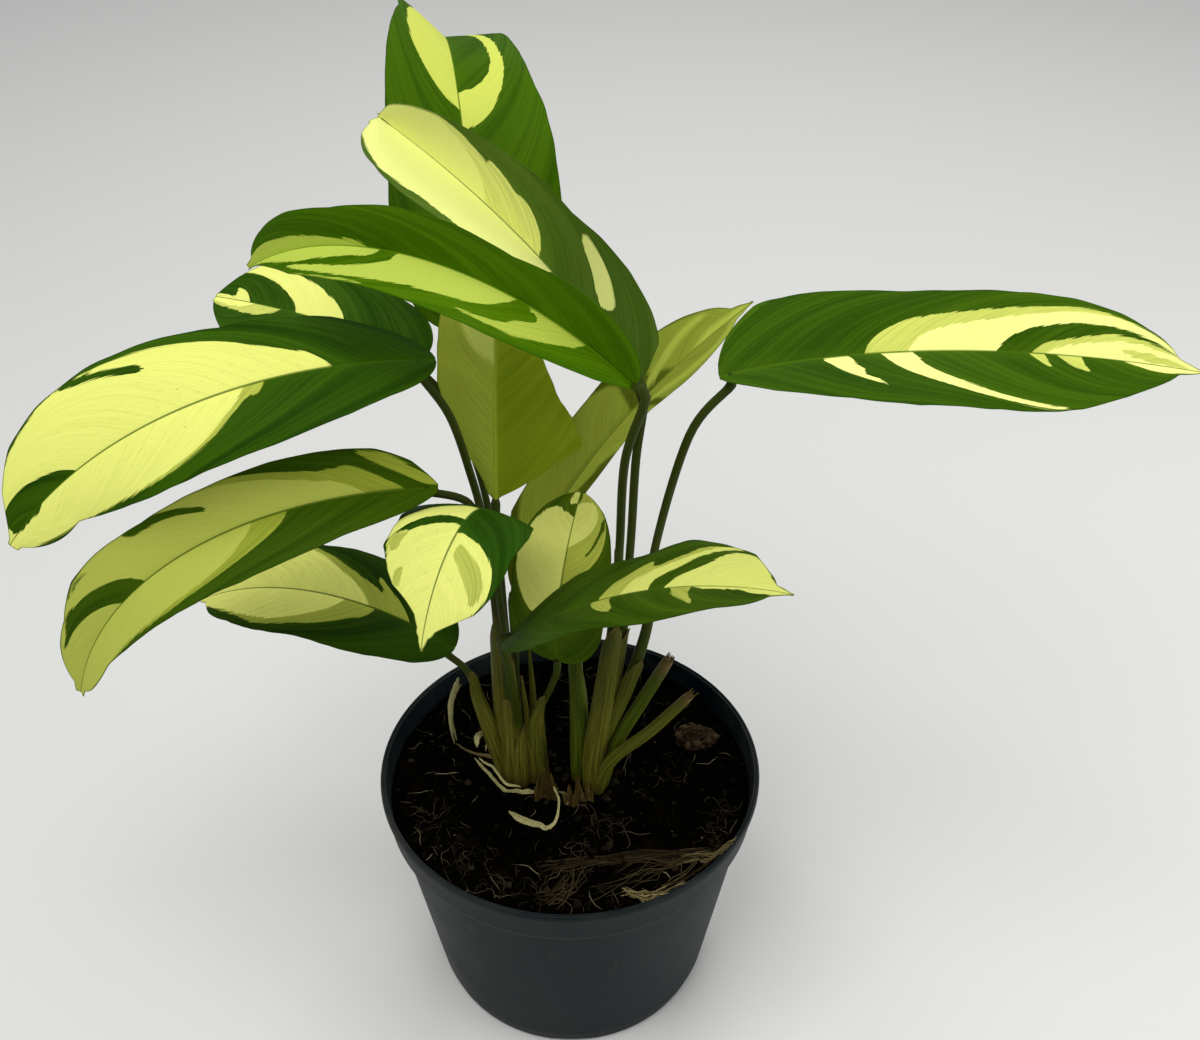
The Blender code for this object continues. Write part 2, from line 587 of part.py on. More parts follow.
def stalk_route(stalk, crown):
    """From inside the crown, through the chosen points, to just short of the blade.

    A seat of 0 meets the blade's end in its direction, and any other meets its underside that far along.
    """
    blade = LEAVES[stalk.leaf]
    places, along, _, ups = blade_frames(blade, (stalk.seat,))
    if stalk.seat == 0.0:
        seat = places[0] - GAP * along[0]
        lead = places[0] - PULVINUS_LENGTH * along[0]
    else:
        seat = places[0] - (BLADE_THICKNESS / 2 + GAP + SPARE) * ups[0]
        lead = places[0] - PULVINUS_LENGTH * ups[0]
    x, y, _ = stalk.points[0]
    spread = np.array([x - crown[0], y - crown[1]])
    reach = crown[2] - stalk.foot_radius - STALK_INSET
    spread *= min(1.0, reach / max(reach, np.linalg.norm(spread)))
    foot = (crown[0] + spread[0], crown[1] + spread[1], STALK_FOOT)
    return smooth_route([foot, *stalk.points, lead, seat], STALK_SPACING)


def stalk_radii(route, foot_radius, slender_radius):
    """A wide sheath at the foot that narrows into a slender stalk with a slightly thicker end."""
    steps = np.linalg.norm(np.diff(route, axis=0), axis=1)
    run = np.concatenate([[0.0], np.cumsum(steps)])
    share = np.clip(run / (SHEATH_SHARE * run[-1]), 0, 1)
    sheath = foot_radius + (slender_radius - foot_radius) * share**SHEATH_TAPER
    at_end = np.clip((run - run[-1] + PULVINUS_RUN * PULVINUS_LENGTH) / PULVINUS_LENGTH, 0, 1)
    return sheath * (1 + PULVINUS_SWELL * at_end)


def build_clump(name, crown, stalks, extras, parts):
    """The crown in the soil with every stalk, stub and sheath that grows from it, as one solid."""
    repeats = bpy.data.collections.new(name + "_repeats")
    parts.children.link(repeats)
    scrap = bpy.data.collections.new(name + "_scrap")
    parts.children.link(scrap)
    body = add_cylinder(name + "_crown", crown, crown[2], CROWN_BOTTOM, CROWN_TOP, scrap, CROWN_SEGMENTS)
    for i, stalk in enumerate(stalks):
        route = stalk_route(stalk, crown)
        make_tube(f"{name}_{i}", route, stalk_radii(route, stalk.foot_radius, stalk.slender_radius), repeats)
    for i, (points, foot_radius, end_radius) in enumerate(extras):
        route = smooth_route([(points[0][0], points[0][1], STALK_FOOT), *points[1:]], STALK_SPACING)
        make_tube(f"{name}_extra_{i}", route, np.linspace(foot_radius, end_radius, len(route)), repeats)
    clump = join_by_union(name, body, repeats, parts, (0.1, 0.14, 0.03), 0.5)
    bpy.data.collections.remove(scrap)
    return clump


def height_over_soil(tree, x, y):
    """Height of the modelled soil surface under a place, in millimetres."""
    hit = tree.ray_cast(Vector((x * MM, y * MM, 2 * POT_HEIGHT * MM)), Vector((0, 0, -1)))
    return hit[0].z / MM


def highest_near(tree, x, y, reach):
    """Highest soil within reach of a place, so that what lies there stays clear of every lump."""
    around = [(0, 0), (reach, 0), (-reach, 0), (0, reach), (0, -reach)]
    return max(height_over_soil(tree, x + dx, y + dy) for dx, dy in around)


def build_bract(name, blade, tree, parts):
    """A small papery sheath standing on the soil against its clump."""
    x, y, _ = blade.base
    standing = blade._replace(base=(x, y, highest_near(tree, x, y, 2.0) + GAP + 0.3))
    rows = blade_rows(standing, BRACT_STATIONS, BRACT_ACROSS)
    return shell_from_rows(name, rows, PAPER_THICKNESS, parts, blade.colour, 0.8)


def build_strip(name, points, width, tree, parts):
    """A ribbon of dry leaf that lies and curls over the soil."""
    lifted = [(x, y, highest_near(tree, x, y, width) + STRIP_CLEARANCE + lift) for x, y, lift in points]
    route = smooth_route(lifted, STRIP_SPACING)
    rows = []
    for i, place in enumerate(route):
        ahead = route[min(i + 1, len(route) - 1)] - route[max(i - 1, 0)]
        sideways = np.cross(ahead, (0, 0, 1))
        sideways /= np.linalg.norm(sideways)
        x, y, _ = place
        place[2] = max(place[2], highest_near(tree, x, y, width) + STRIP_CLEARANCE)
        taper = 0.5 + 0.5 * math.sin(math.pi * (0.15 + 0.7 * i / (len(route) - 1)))
        half = width / 2 * taper
        rows.append([place + half * share * sideways for share in (-1, 0, 1)])
    return shell_from_rows(name, rows, PAPER_THICKNESS, parts, (0.45, 0.4, 0.2), 0.8)


def build_roots(tree, parts):
    """A mat of crossing fibrous roots lying on the soil, fused into one solid."""
    repeats = bpy.data.collections.new("root_repeats")
    parts.children.link(repeats)
    for i, (start, end, bow, radius) in enumerate(ROOTS):
        route = []
        across = Vector((start[1] - end[1], end[0] - start[0])).normalized()
        for share in np.linspace(0, 1, 1 + round(math.dist(start, end) / ROOT_SPACING)):
            lean = bow * math.sin(math.pi * share)
            x = start[0] + (end[0] - start[0]) * share + across.x * lean
            y = start[1] + (end[1] - start[1]) * share + across.y * lean
            route.append((x, y, highest_near(tree, x, y, 2.5) + GAP + 1.2 * radius))
        make_tube(f"root_{i}", route, [radius] * len(route), repeats, 1)
    first = repeats.objects["root_0"]
    scrap = bpy.data.collections.new("root_scrap")
    parts.children.link(scrap)
    repeats.objects.unlink(first)
    scrap.objects.link(first)
    roots = join_by_union("root_mat", first, repeats, parts, (0.3, 0.2, 0.09), 0.85)
    bpy.data.collections.remove(scrap)
    return roots


def build_clod(tree, parts):
    """A clod of dry fibre resting on the soil."""
    mesh = bpy.data.meshes.new("fibre_clod")
    work = bmesh.new()
    bmesh.ops.create_icosphere(work, subdivisions=2, radius=1.0)
    x, y = CLOD_CENTRE
    for vertex in work.verts:
        bump = 1 + 0.25 * noise.noise(vertex.co * 1.7)
        vertex.co = Vector(vertex.co * Vector(CLOD_SIZE)) * bump
    lowest = min(vertex.co.z for vertex in work.verts)
    floor = highest_near(tree, x, y, CLOD_SIZE[1] / 3) + GAP + SPARE
    for vertex in work.verts:
        vertex.co = (vertex.co + Vector((x, y, floor - lowest))) * MM
    work.to_mesh(mesh)
    work.free()
    return add_object("fibre_clod", mesh, parts, (0.06, 0.035, 0.02), 0.95)


def main():
    for obj in list(bpy.data.objects):
        bpy.data.objects.remove(obj)
    parts = bpy.data.collections.new(OBJECT_NAME)
    cutters = bpy.data.collections.new("cutters")
    for collection in (parts, cutters):
        bpy.context.scene.collection.children.link(collection)
    build_pot(parts, cutters)
    soil = build_soil(parts, cutters)
    for name, blade in LEAVES.items():
        rows = blade_rows(blade, STATIONS, ACROSS, MARGINS[name])
        shell_from_rows(name, rows, BLADE_THICKNESS, parts, blade.colour, 0.4)
    build_clump("stalks_left", LEFT_CROWN, LEFT_STALKS, SHEATHS, parts)
    build_clump("stalks_right", RIGHT_CROWN, RIGHT_STALKS, STUBS, parts)
    tree = BVHTree.FromObject(soil, bpy.context.evaluated_depsgraph_get())
    for name, blade in BRACTS.items():
        build_bract(name, blade, tree, parts)
    for name, (points, width) in DRY_STRIPS.items():
        build_strip(name, points, width, tree, parts)
    build_roots(tree, parts)
    build_clod(tree, parts)


main()
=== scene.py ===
"""The potted calathea's finished look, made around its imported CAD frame.

Thirteen fine blades with pale splashes along their side veins, stalks in their sheaths, the moulded pot,
the crumbly potting mix and the dry litter on it. Places and sizes are in millimetres until a mesh is made,
and +Z is up.
"""
import math
from collections import namedtuple

import bmesh
import bpy
import numpy as np
from mathutils import Matrix, Vector, noise


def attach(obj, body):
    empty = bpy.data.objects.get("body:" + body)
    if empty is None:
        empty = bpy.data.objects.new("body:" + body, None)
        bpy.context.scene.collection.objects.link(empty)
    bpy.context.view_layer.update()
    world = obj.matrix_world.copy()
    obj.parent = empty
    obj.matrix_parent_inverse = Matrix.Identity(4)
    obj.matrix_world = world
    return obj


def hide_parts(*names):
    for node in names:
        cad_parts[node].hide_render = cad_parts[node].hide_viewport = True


MM = 0.001
norm = np.linalg.norm
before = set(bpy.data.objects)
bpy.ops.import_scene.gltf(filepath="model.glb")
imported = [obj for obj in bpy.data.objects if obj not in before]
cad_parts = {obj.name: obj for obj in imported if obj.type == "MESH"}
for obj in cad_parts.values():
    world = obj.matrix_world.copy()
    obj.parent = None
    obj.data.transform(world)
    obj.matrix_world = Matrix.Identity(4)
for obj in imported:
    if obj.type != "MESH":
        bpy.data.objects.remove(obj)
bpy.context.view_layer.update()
chance = np.random.default_rng(11)

# Pot and potting mix, as in the CAD
RIM_RADIUS = 85.0
POT_HEIGHT = 120.0
COLLAR_BOTTOM = 102.0
COLLAR_FOOT_RADIUS = 82.3
BODY_TOP_RADIUS = 79.6
FOOT_RADIUS = 63.0
FOOT_LINE_HEIGHT = 5.0
WALL = 1.8
FLOOR_UNDERSIDE = 3.0
FLOOR_TOP = 5.2
FOOT_RING_WIDTH = 4.0
CENTRE_PAD_RADIUS = 16.0
DRAIN_HOLES = 6
DRAIN_HOLE_RADIUS = 5.0
DRAIN_CIRCLE_RADIUS = 41.0
FOOT_NOTCHES = 4
FOOT_NOTCH_WIDTH = 16.0
FOOT_NOTCH_HEIGHT = 2.0
SOIL_TOP = 109.0
SOIL_RELIEF = 2.2
SOIL_LUMP_SIZE = 17.0
LEFT_CROWN = (-20.0, 4.0, 13.0)
RIGHT_CROWN = (8.0, -3.0, 10.0)
CROWNS = (LEFT_CROWN, RIGHT_CROWN)
STALK_FOOT = 101.0
PULVINUS_LENGTH = 6.0

# Finer pot and mix: the wall stands a little proud of the CAD's just above its chamfered foot
CHAMFER_HEIGHT = 8.5
FLARE = 1.0
POT_FILLET = 0.5
POT_SEGMENTS = 180
SOIL_EDGE = 80.7
SOIL_SIDE = ((79.9, 104.5), (77.4, 101.0), (61.8, 8.2), (59.5, 5.6))
SOIL_ROWS = 96
SOIL_COLUMNS = 240

# Outline of a blade, as in the CAD
BASE_SHARE = 0.34
BASE_ROUNDNESS = 2.3
TAPER_START = 0.5
TAPER_ROUNDNESS = 2.4
TAPER_POWER = 0.62
DRIP_SHARE = 0.05
DRIP_SPREAD = 2.2
DRIP_WIDTH = 0.26
BASE_HALF_WIDTH = 1.3
TIP_HALF_WIDTH = 0.5
WAVES_PER_BLADE = 2.5

# Fine blades
BLADE_ROWS = 150
BLADE_COLUMNS = 53
BLADE_THICKNESS = 0.42
VEIN_SPACING = 3.4
VEIN_RELIEF = 0.09
MIDRIB_ROUNDING = 0.035
SPOT_COLOUR = (104, 100, 34)

# Splashes: the depths in millimetres inside an outline over which its colour fades in, on top and below
CRISP_EDGE = (-0.14, 0.14)
SOFT_EDGE = (-0.9, 0.9)
# The depth where there is no splash, and how far lime laid over pale spreads past its outline
FAR_OUTSIDE = -9.0
OVERLAP = 1.2
# How far an outline that meets the midrib is carried past it, as a share of the half width
PAST_MIDRIB = 0.25

# Stalks and litter
STALK_SIDES = 18
STALK_STEP = 3.0
SHREDS = 11
LOOSE_CRUMBS = 900
CRUMB_REACH = 79
CROWN_CRUMBS = 80
LOOSE_FIBRES = 170
FIBRE_REACH = 78
SPARSE_WITHIN = 66
LITTER_REACH = 83.6
STRIP_THICKNESS = 0.3
SLIVER_THICKNESS = 0.32
CLOD_CENTRE = (58, 24)
CLOD_SIZE = np.array([9, 6.5, 4.5])
CLOD_CRUMBS = 70
CLOD_ROOTS = 190
FLOOR_REACH = 6.0

Blade = namedtuple("Blade", "base azimuth turn pitch bend length width roll fold cup lean wave")
BLADES = {
    "top_back": Blade((-37, 70, 303), 97, 6, (82, -62), 2, 171, 78, (-6, -28), 24, 0.03, 0, 1),
    "upper_pale": Blade((27, 1, 319), 170, -40, (63, 4), 1.05, 152, 58, (9, 57), 50, 0, -0.18, 1),
    "upper_left": Blade((25, -32, 341), 170, -22, (45, -41), 1.15, 171, 43, (58, 59), 46, 0.05, 0, 1),
    "far_left": Blade((-55, 36, 311), 150, 0, (6, -10), 1, 114, 49, (3, 30), 16, 0.12, 0, 1),
    "long_left": Blade((-46, -3, 334), 198, -14, (11, -58), 1.1, 191, 55, (10, 78), 8, 0.17, 0.1, 1),
    "second_left": Blade((-47, -17, 287), 197, -16, (9, -79), 1.22, 190, 45, (42, 54), 24, 0.06, 0.02, 1),
    "low_left": Blade((-47, -5, 195), 165, 0, (29, -36), 1.2, 125, 52, (6, 12), 10, 0.14, 0, 1),
    "front_small": Blade((-28, -9, 265), 254, -5, (74, -69), 0.8, 90, 51, (5, -7), 0, 0.18, 0.1, 1),
    "low_right": Blade((-21.5, -33, 227), -22, -6, (43, 9), 1.4, 129, 58, (5, 2), 11, 0.12, -0.05, 1),
    "inner_furled": Blade((-4.5, -14, 196), 70, 2, (92, 28), 1.1, 79, 42, (0, 4), 14, 0.12, 0, 0.6),
    "tall_under": Blade((-23, 27, 199), 26, -2, (72, 28), 0.75, 163, 47, (88, 90), 14, 0.05, 0, 1),
    "middle_under": Blade((-28, 8, 263), 262, 0, (98, 108), 1, 114, 66, (-22, -22), 28, 0.04, -0.3, 1),
    "long_right": Blade((57, -2, 326), 5, -7, (17, -10), 0.55, 181, 58, (-14, -31), 15, 0.1, 0, 1),
}

# What each blade keeps of its outline, in percent: places along it, then its left and its right side there
FULL_MARGINS = ((0, 100), (100, 100), (100, 100))
MARGINS = {
    "top_back": (
        (0, 30, 50, 60, 75, 87, 100),
        (100, 100, 100, 95, 80, 100, 100),
        (100, 97, 88, 80, 78, 90, 100),
    ),
    "upper_pale": (
        (0, 7, 30, 42, 50, 60, 80, 90, 95.5),
        (100, 100, 100, 100, 94, 86, 88, 100, 120),
        (50, 100, 97, 90, 100, 100, 100, 100, 70),
    ),
    "upper_left": (
        (0, 8, 22, 33, 44, 56, 68, 78, 86, 92, 97),
        (50, 72, 90, 97, 97, 90, 88, 88, 66, 45, 60),
        (100, 100, 97, 82, 97, 97, 84, 90, 87, 90, 100),
    ),
    "far_left": (
        (0, 80, 88, 95),
        (100, 100, 90, 80),
        (100, 100, 85, 60),
    ),
    "long_left": (
        (0, 10, 18, 38, 52, 62, 72, 80, 87, 93, 95.5),
        (92, 90, 95, 100, 100, 97, 88, 77, 100, 115, 130),
        (70, 77, 86, 82, 94, 98, 100, 97, 80, 40, 30),
    ),
    "second_left": (
        (0, 5, 12, 20, 30, 42, 55, 66, 73, 81, 87, 93, 96.5),
        (55, 66, 74, 79, 92, 99, 97, 90, 87, 83, 100, 120, 150),
        (50, 84, 92, 87, 86, 81, 81, 94, 100, 86, 95, 100, 120),
    ),
    "low_left": (
        (0, 10, 40, 60, 80, 90, 98),
        (80, 93, 97, 100, 89, 100, 100),
        (100, 100, 100, 100, 100, 100, 100),
    ),
    "front_small": (
        (0, 30, 45, 58, 70, 76, 81, 86, 91, 95, 100),
        (100, 100, 100, 100, 100, 100, 98, 76, 50, 70, 100),
        (100, 93, 89, 96, 84, 76, 52, 32, 30, 60, 100),
    ),
    "low_right": (
        (0, 35, 48, 58, 70, 83, 90, 95, 100),
        (100, 94, 89, 100, 100, 98, 78, 80, 100),
        (100, 100, 97, 94, 88, 84, 95, 100, 100),
    ),
    "inner_furled": (
        (0, 85, 95),
        (100, 100, 90),
        (100, 100, 90),
    ),
    "tall_under": (
        (0, 10, 22, 35, 50, 62, 70, 80, 88, 93, 97, 100),
        (40, 40, 42, 46, 50, 46, 53, 68, 78, 90, 120, 100),
        (40, 55, 83, 78, 78, 90, 90, 94, 95, 103, 130, 100),
    ),
    "middle_under": (
        (0, 3, 5.5, 8, 12, 16, 30, 42, 52, 70, 100),
        (100, 113, 120, 150, 130, 110, 77, 62, 50, 60, 100),
        (40, 37, 34, 38, 46, 57, 87, 100, 100, 100, 100),
    ),
    "long_right": (
        (0, 3, 10, 15, 25, 38, 52, 62, 72, 82, 88, 94, 100),
        (110, 125, 128, 115, 100, 94, 87, 88, 96, 100, 96, 100, 100),
        (50, 55, 68, 71, 79, 100, 102, 102, 100, 88, 76, 70, 100),
    ),
}

# Colours of each blade: dark green, lighter green, lime band, pale splash. They are set blade by blade to
# how each blade looks in place, so besides the blade's own colours they hold some painted shade and painted
# light
Palette = namedtuple("Palette", "dark light lime pale")
PALETTES = {
    "top_back": Palette((46, 80, 1), (72, 108, 4), (184, 200, 66), (210, 219, 98)),
    "upper_pale": Palette((64, 92, 20), (86, 112, 36), (226, 230, 128), (234, 238, 142)),
    "upper_left": Palette((54, 94, 0), (84, 122, 6), (188, 206, 78), (194, 212, 86)),
    "far_left": Palette((32, 66, 2), (60, 94, 16), (210, 217, 106), (244, 247, 134)),
    "long_left": Palette((28, 60, 1), (58, 94, 6), (186, 196, 78), (242, 246, 128)),
    # second_left's lime and pale are duller than the other blades': painted shade from the blades that lie
    # over it
    "second_left": Palette((40, 66, 1), (64, 92, 6), (154, 166, 54), (184, 192, 84)),
    "low_left": Palette((28, 54, 1), (50, 80, 6), (176, 186, 72), (246, 249, 134)),
    "front_small": Palette((30, 64, 2), (50, 88, 14), (190, 199, 88), (236, 240, 128)),
    "low_right": Palette((40, 66, 3), (66, 92, 12), (176, 184, 78), (216, 221, 114)),
    "inner_furled": Palette((48, 74, 1), (84, 106, 12), (178, 186, 72), (224, 227, 120)),
    # tall_under and middle_under show their undersides, and these colours are brighter and yellower than a
    # plain underside: painted light shining through the blades
    "tall_under": Palette((76, 90, 10), (98, 110, 28), (154, 168, 56), (184, 198, 78)),
    "middle_under": Palette((108, 127, 10), (130, 147, 28), (172, 187, 64), (212, 224, 108)),
    "long_right": Palette((42, 76, 2), (72, 106, 10), (216, 224, 104), (255, 255, 152)),
}
PLAIN_UNDERSIDE = Palette((78, 100, 34), (98, 118, 48), (150, 160, 80), (192, 197, 116))
SHOWN_FROM_BELOW = ("tall_under", "middle_under")

# Splashes: tone, then the outline's points in percent along the blade and across it, minus on the left
SPLASHES = {
    "long_right": (
        ("lime", (28, 31, 36, 41, 50, 60, 69, 78, 90, 97, 88, 80, 72, 64, 58, 54),
         (0, -20, -38, -50, -55, -63, -76, -90, -97, -85, -72, -64, -52, -37, -20, 0)),
        ("pale", (36, 40, 45, 53, 62, 70, 78, 88, 96, 88, 80, 72, 64, 58, 54),
         (0, -20, -33, -43, -53, -68, -82, -95, -88, -72, -64, -52, -37, -20, 0)),
        ("lime", (61, 65, 72, 80, 88, 96, 102, 102), (0, -14, -27, -48, -60, -72, -90, 0)),
        ("pale", (63, 68, 75, 83, 92, 102, 102), (0, -12, -22, -42, -55, -80, 0)),
        ("over", (86, 80, 90, 97, 95), (-5, -24, -30, -20, -5)),
        ("pale", (19.5, 22, 25, 29, 34, 31, 28.5, 29, 27, 25), (0, 16, 34, 50, 66, 50, 38, 30, 16, 0)),
        ("pale", (31, 34, 38, 43.5, 50, 57, 65, 72, 64, 56, 48, 43, 40, 38.5),
         (0, 18, 40, 60, 76, 88, 98, 100, 90, 78, 58, 38, 17, 0)),
        ("lime", (60.5, 64, 67.5, 66.5, 65), (0, 12, 30, 12, 0)),
        ("lime", (66.5, 70, 75.5, 74, 73), (0, 17, 36, 14, 0)),
        ("pale", (78, 84, 90, 97, 102, 102), (0, 10, 30, 75, 90, 0)),
    ),
    "low_right": (
        ("lime", (36, 38.5, 43, 51, 52, 51.5, 57, 62, 68, 82, 74, 68, 64, 58, 55, 55),
         (0, -20, -38, -62, -50, -44, -52, -68, -92, -102, -88, -70, -46, -26, -16, 0)),
        ("pale", (44, 46, 53, 60, 66, 72, 80, 72, 67, 62, 57, 55, 55),
         (0, -20, -40, -50, -72, -95, -102, -82, -64, -40, -24, -14, 0)),
        ("pale", (58, 62, 68, 72, 74, 79, 86, 90, 92, 96, 102, 102),
         (0, -20, -35, -55, -75, -90, -94, -80, -60, -50, -50, 0)),
        ("lime", (33.5, 37, 42, 50, 47, 45.5, 43, 40), (0, 20, 42, 60, 36, 28, 12, 0)),
        ("lime", (60, 65, 70, 76, 72, 70, 69), (0, 22, 42, 66, 35, 15, 0)),
        ("pale", (64, 72, 80, 85, 89, 94, 102, 102), (0, 10, 14, 12, 35, 70, 100, 0)),
    ),
    "long_left": (
        ("lime", (30, 33, 34.5, 36, 40, 45, 50, 56, 66, 80, 86, 92, 102, 102),
         (0, -12, -20, -16, -42, -62, -74, -81, -84, -81, -90, -105, -105, 0)),
        ("pale", (34, 37, 40.5, 46, 52, 60, 70, 80, 86, 92, 102, 102),
         (0, -12, -36, -59, -72, -80, -81, -79, -88, -105, -105, 0)),
        ("pale", (17, 22, 28, 33, 40, 50, 60, 72, 102, 102), (0, 22, 36, 50, 66, 83, 93, 105, 105, 0)),
        ("dark", (70, 73.5, 78, 83, 87.8, 92, 93), (0, 10, 25, 44, 56, 70, 0)),
        ("dark", (51.5, 53, 56, 60, 64, 68, 65, 61, 56.8, 54), (62, 71, 78, 86, 95, 96, 88, 81, 71, 62)),
        ("dark", (83, 87, 93, 93, 80), (-6, -12, -4, 0, 0)),
    ),
    "second_left": (
        ("lime", (28, 31, 35, 40, 46, 53, 62, 80, 85, 102, 102),
         (0, -20, -40, -57, -70, -80, -84, -84, -105, -105, 0)),
        ("pale", (35, 38, 42, 48, 55, 64, 80, 87, 102, 102),
         (0, -20, -45, -64, -74, -79, -80, -105, -105, 0)),
        ("lime", (4, 9, 13, 17.5, 20, 25, 32, 40, 55, 70, 102, 102),
         (0, 20, 42, 60, 53, 56, 72, 84, 88, 105, 105, 0)),
        ("pale", (12, 17, 25, 34, 44, 58, 74, 102, 102), (0, 24, 42, 66, 82, 86, 105, 105, 0)),
        ("lime", (-2, 5, 9, 16, 14, 11, 7, 3), (10, 62, 88, 88, 74, 58, 42, 14)),
        ("dark", (60, 64, 70, 76, 80, 84, 88, 86, 80, 73, 66),
         (0, 26, 52, 70, 86, 74, 88, 70, 50, 24, 0)),
        ("dark", (43, 43.5, 46, 50, 55, 60, 58.5, 55, 52, 49, 46),
         (44, 53, 63, 76, 84, 90, 72, 68, 66, 62, 52)),
        ("dark", (68, 72, 80, 74), (82, 92, 94, 88)),
    ),
    "upper_left": (
        ("lime", (12, 14, 18, 22, 27, 32, 40, 38, 33, 29.5, 27.5, 23.5, 24, 26.5, 26.5),
         (0, -20, -45, -62, -77, -76, -76, -71, -68, -60, -42, -26, -12, -8, 0)),
        ("pale", (27.5, 31, 35, 40, 50, 58, 66, 76, 82, 73, 65, 60, 56.5, 55.5, 55),
         (0, -22, -45, -57, -65, -72, -78, -76, -62, -57, -54, -38, -26, -10, 0)),
        ("pale", (58.5, 60, 64, 67, 72, 80, 86, 92, 102, 102),
         (0, -15, -25, -28, -40, -52, -45, -25, -40, 0)),
        ("lime", (60, 63, 66, 69, 76, 83, 88, 94, 102, 102), (0, 10, 20, 15, 30, 42, 58, 90, 100, 0)),
        ("pale", (61.5, 65, 70, 76, 83, 90, 96, 102, 102), (0, 10, 17, 27, 41, 62, 90, 100, 0)),
        ("lime", (56, 64, 74, 80, 70), (-83, -90, -93, -86, -86)),
    ),
    "upper_pale": (
        ("pale", (34.5, 37, 41, 46, 52, 60, 65, 72, 80, 90, 102, 102),
         (0, -22, -48, -66, -76, -74, -71, -78, -86, -95, -105, 0)),
        ("lime", (38, 42, 47, 52, 53.5, 56, 60, 62.5, 61.5, 65, 73, 80, 102, 102),
         (0, 22, 46, 57, 52, 60, 70, 72, 62, 74, 97, 105, 105, 0)),
        ("pale", (56, 59, 61, 65, 70, 78, 102, 102), (0, 12, 32, 52, 76, 105, 105, 0)),
        ("pale", (19, 21.5, 25, 30, 34.5, 38.5, 33, 28, 23.5), (42, 26, 32, 48, 62, 84, 78, 70, 58)),
        ("dark", (86, 90, 94, 95), (0, 7, 24, 0)),
    ),
    "top_back": (
        ("pale", (50, 53.5, 57, 60, 65, 70, 80, 88, 93, 94),
         (0, -10, -30, -45, -60, -67, -70, -62, -40, 0)),
        ("pale", (45.5, 49, 54, 60, 66, 74, 80, 90, 94), (0, 22, 40, 51, 56, 57, 52, 40, 0)),
        ("dark", (56.5, 58, 61, 66, 72, 80, 87, 87), (0, 22, 34, 42, 43, 40, 20, 0)),
    ),
    "front_small": (
        ("pale", (46, 49, 54, 60, 66, 74, 81, 86, 92, 102, 102),
         (0, -30, -58, -77, -89, -96, -96, -84, -80, -90, 0)),
        ("over", (52, 56, 62, 70, 80, 74, 66, 60), (-12, -36, -62, -86, -84, -62, -34, -10)),
        ("pale", (20, 24, 30, 38, 50, 62, 74, 84, 92, 102, 102),
         (0, 30, 60, 80, 98, 90, 96, 86, 90, 90, 0)),
        ("dark", (39.5, 37, 39, 45, 52, 62, 66, 57, 51, 47.5, 43, 42),
         (0, 25, 50, 70, 88, 97, 90, 88, 76, 56, 30, 0)),
        ("over", (50, 52, 57, 61, 58, 55), (62, 82, 90, 80, 70, 72)),
        ("over", (67, 69, 76, 77, 72), (56, 72, 76, 62, 58)),
    ),
    "low_left": (
        ("lime", (28, 31, 36, 41, 47, 53, 60, 68, 74, 81, 88, 94, 102, 102),
         (0, -25, -38, -55, -68, -76, -83, -84, -75, -70, -76, -92, -100, 0)),
        ("pale", (39, 42, 47, 54, 62, 72, 81, 90, 102, 102),
         (0, -22, -42, -62, -74, -70, -66, -74, -90, 0)),
        ("lime", (14, 19, 25, 30, 33, 32.5, 28.5, 35, 42, 50, 60, 70, 102, 102),
         (0, 14, 35, 50, 62, 50, 30, 43, 55, 75, 98, 105, 105, 0)),
        ("pale", (28, 35, 45, 55, 62, 72, 102, 102), (0, 22, 50, 80, 95, 105, 105, 0)),
    ),
    "far_left": (
        ("pale", (33, 36, 40, 46, 54, 64, 72, 80, 87, 84.5, 80, 72, 64, 58, 54),
         (0, 14, 30, 46, 60, 76, 88, 100, 100, 85, 74, 56, 33, 16, 0)),
        ("lime", (61, 64, 69, 75, 82, 90, 102, 102), (0, -15, -28, -34, -36, -44, -60, 0)),
        ("pale", (72, 77, 84, 92, 102, 102), (0, -16, -26, -36, -50, 0)),
        ("pale", (76, 80, 86, 85, 86, 90, 95, 102, 102), (0, 22, 42, 22, 10, 20, 60, 90, 0)),
    ),
    "inner_furled": (
        ("pale", (30, 27, 30, 38, 50, 66, 80, 86, 83, 79.5),
         (0, -30, -60, -80, -95, -98, -95, -60, -28, 0)),
        ("lime", (42, 50, 56, 62, 72, 84, 102, 102, 90, 84), (0, 24, 50, 70, 90, 105, 105, 30, 25, 0)),
        ("pale", (62, 68, 74, 82, 90, 90, 84), (0, 20, 50, 80, 90, 30, 0)),
        ("dark", (62, 70, 80, 84, 76, 66), (42, 66, 96, 100, 72, 48)),
        ("pale", (87, 92, 102, 102, 90), (-30, -40, -40, 0, 0)),
    ),
    "tall_under": (
        ("lime", (10, 26, 35, 46, 56, 70, 62, 58), (0, -10, -26, -36, -90, -100, -30, 0)),
        ("lime", (12, 14, 20, 30, 50, 62, 60, 58), (0, 30, 60, 90, 95, 70, 30, 0)),
        ("lime", (63, 66, 70, 76, 102, 102), (0, -40, -80, -105, -105, 0)),
        ("lime", (78, 70, 62, 66, 72, 102, 102), (0, 24, 46, 80, 105, 105, 0)),
        ("pale", (62, 72, 82, 90, 102, 102, 94, 92, 88, 78, 68),
         (-20, -45, -66, -86, -80, 0, 0, -30, -56, -42, -20)),
        ("pale", (64, 70, 78, 86, 90, 82, 74, 66), (10, 30, 56, 84, 84, 50, 22, 4)),
        ("pale", (76, 84, 92, 102, 102), (0, 20, 40, 70, 0)),
    ),
    "middle_under": (
        ("lime", (0, 2, 10, 30, 50, 70, 86, 102, 102), (0, 60, 120, 115, 115, 115, 115, 110, 0)),
        ("pale", (46, 52, 56, 66, 80, 102, 102), (0, 20, 44, 70, 105, 105, 0)),
        ("lime", (66, 72, 80, 90, 102, 102), (0, -16, -28, -30, -20, 0)),
    ),
}


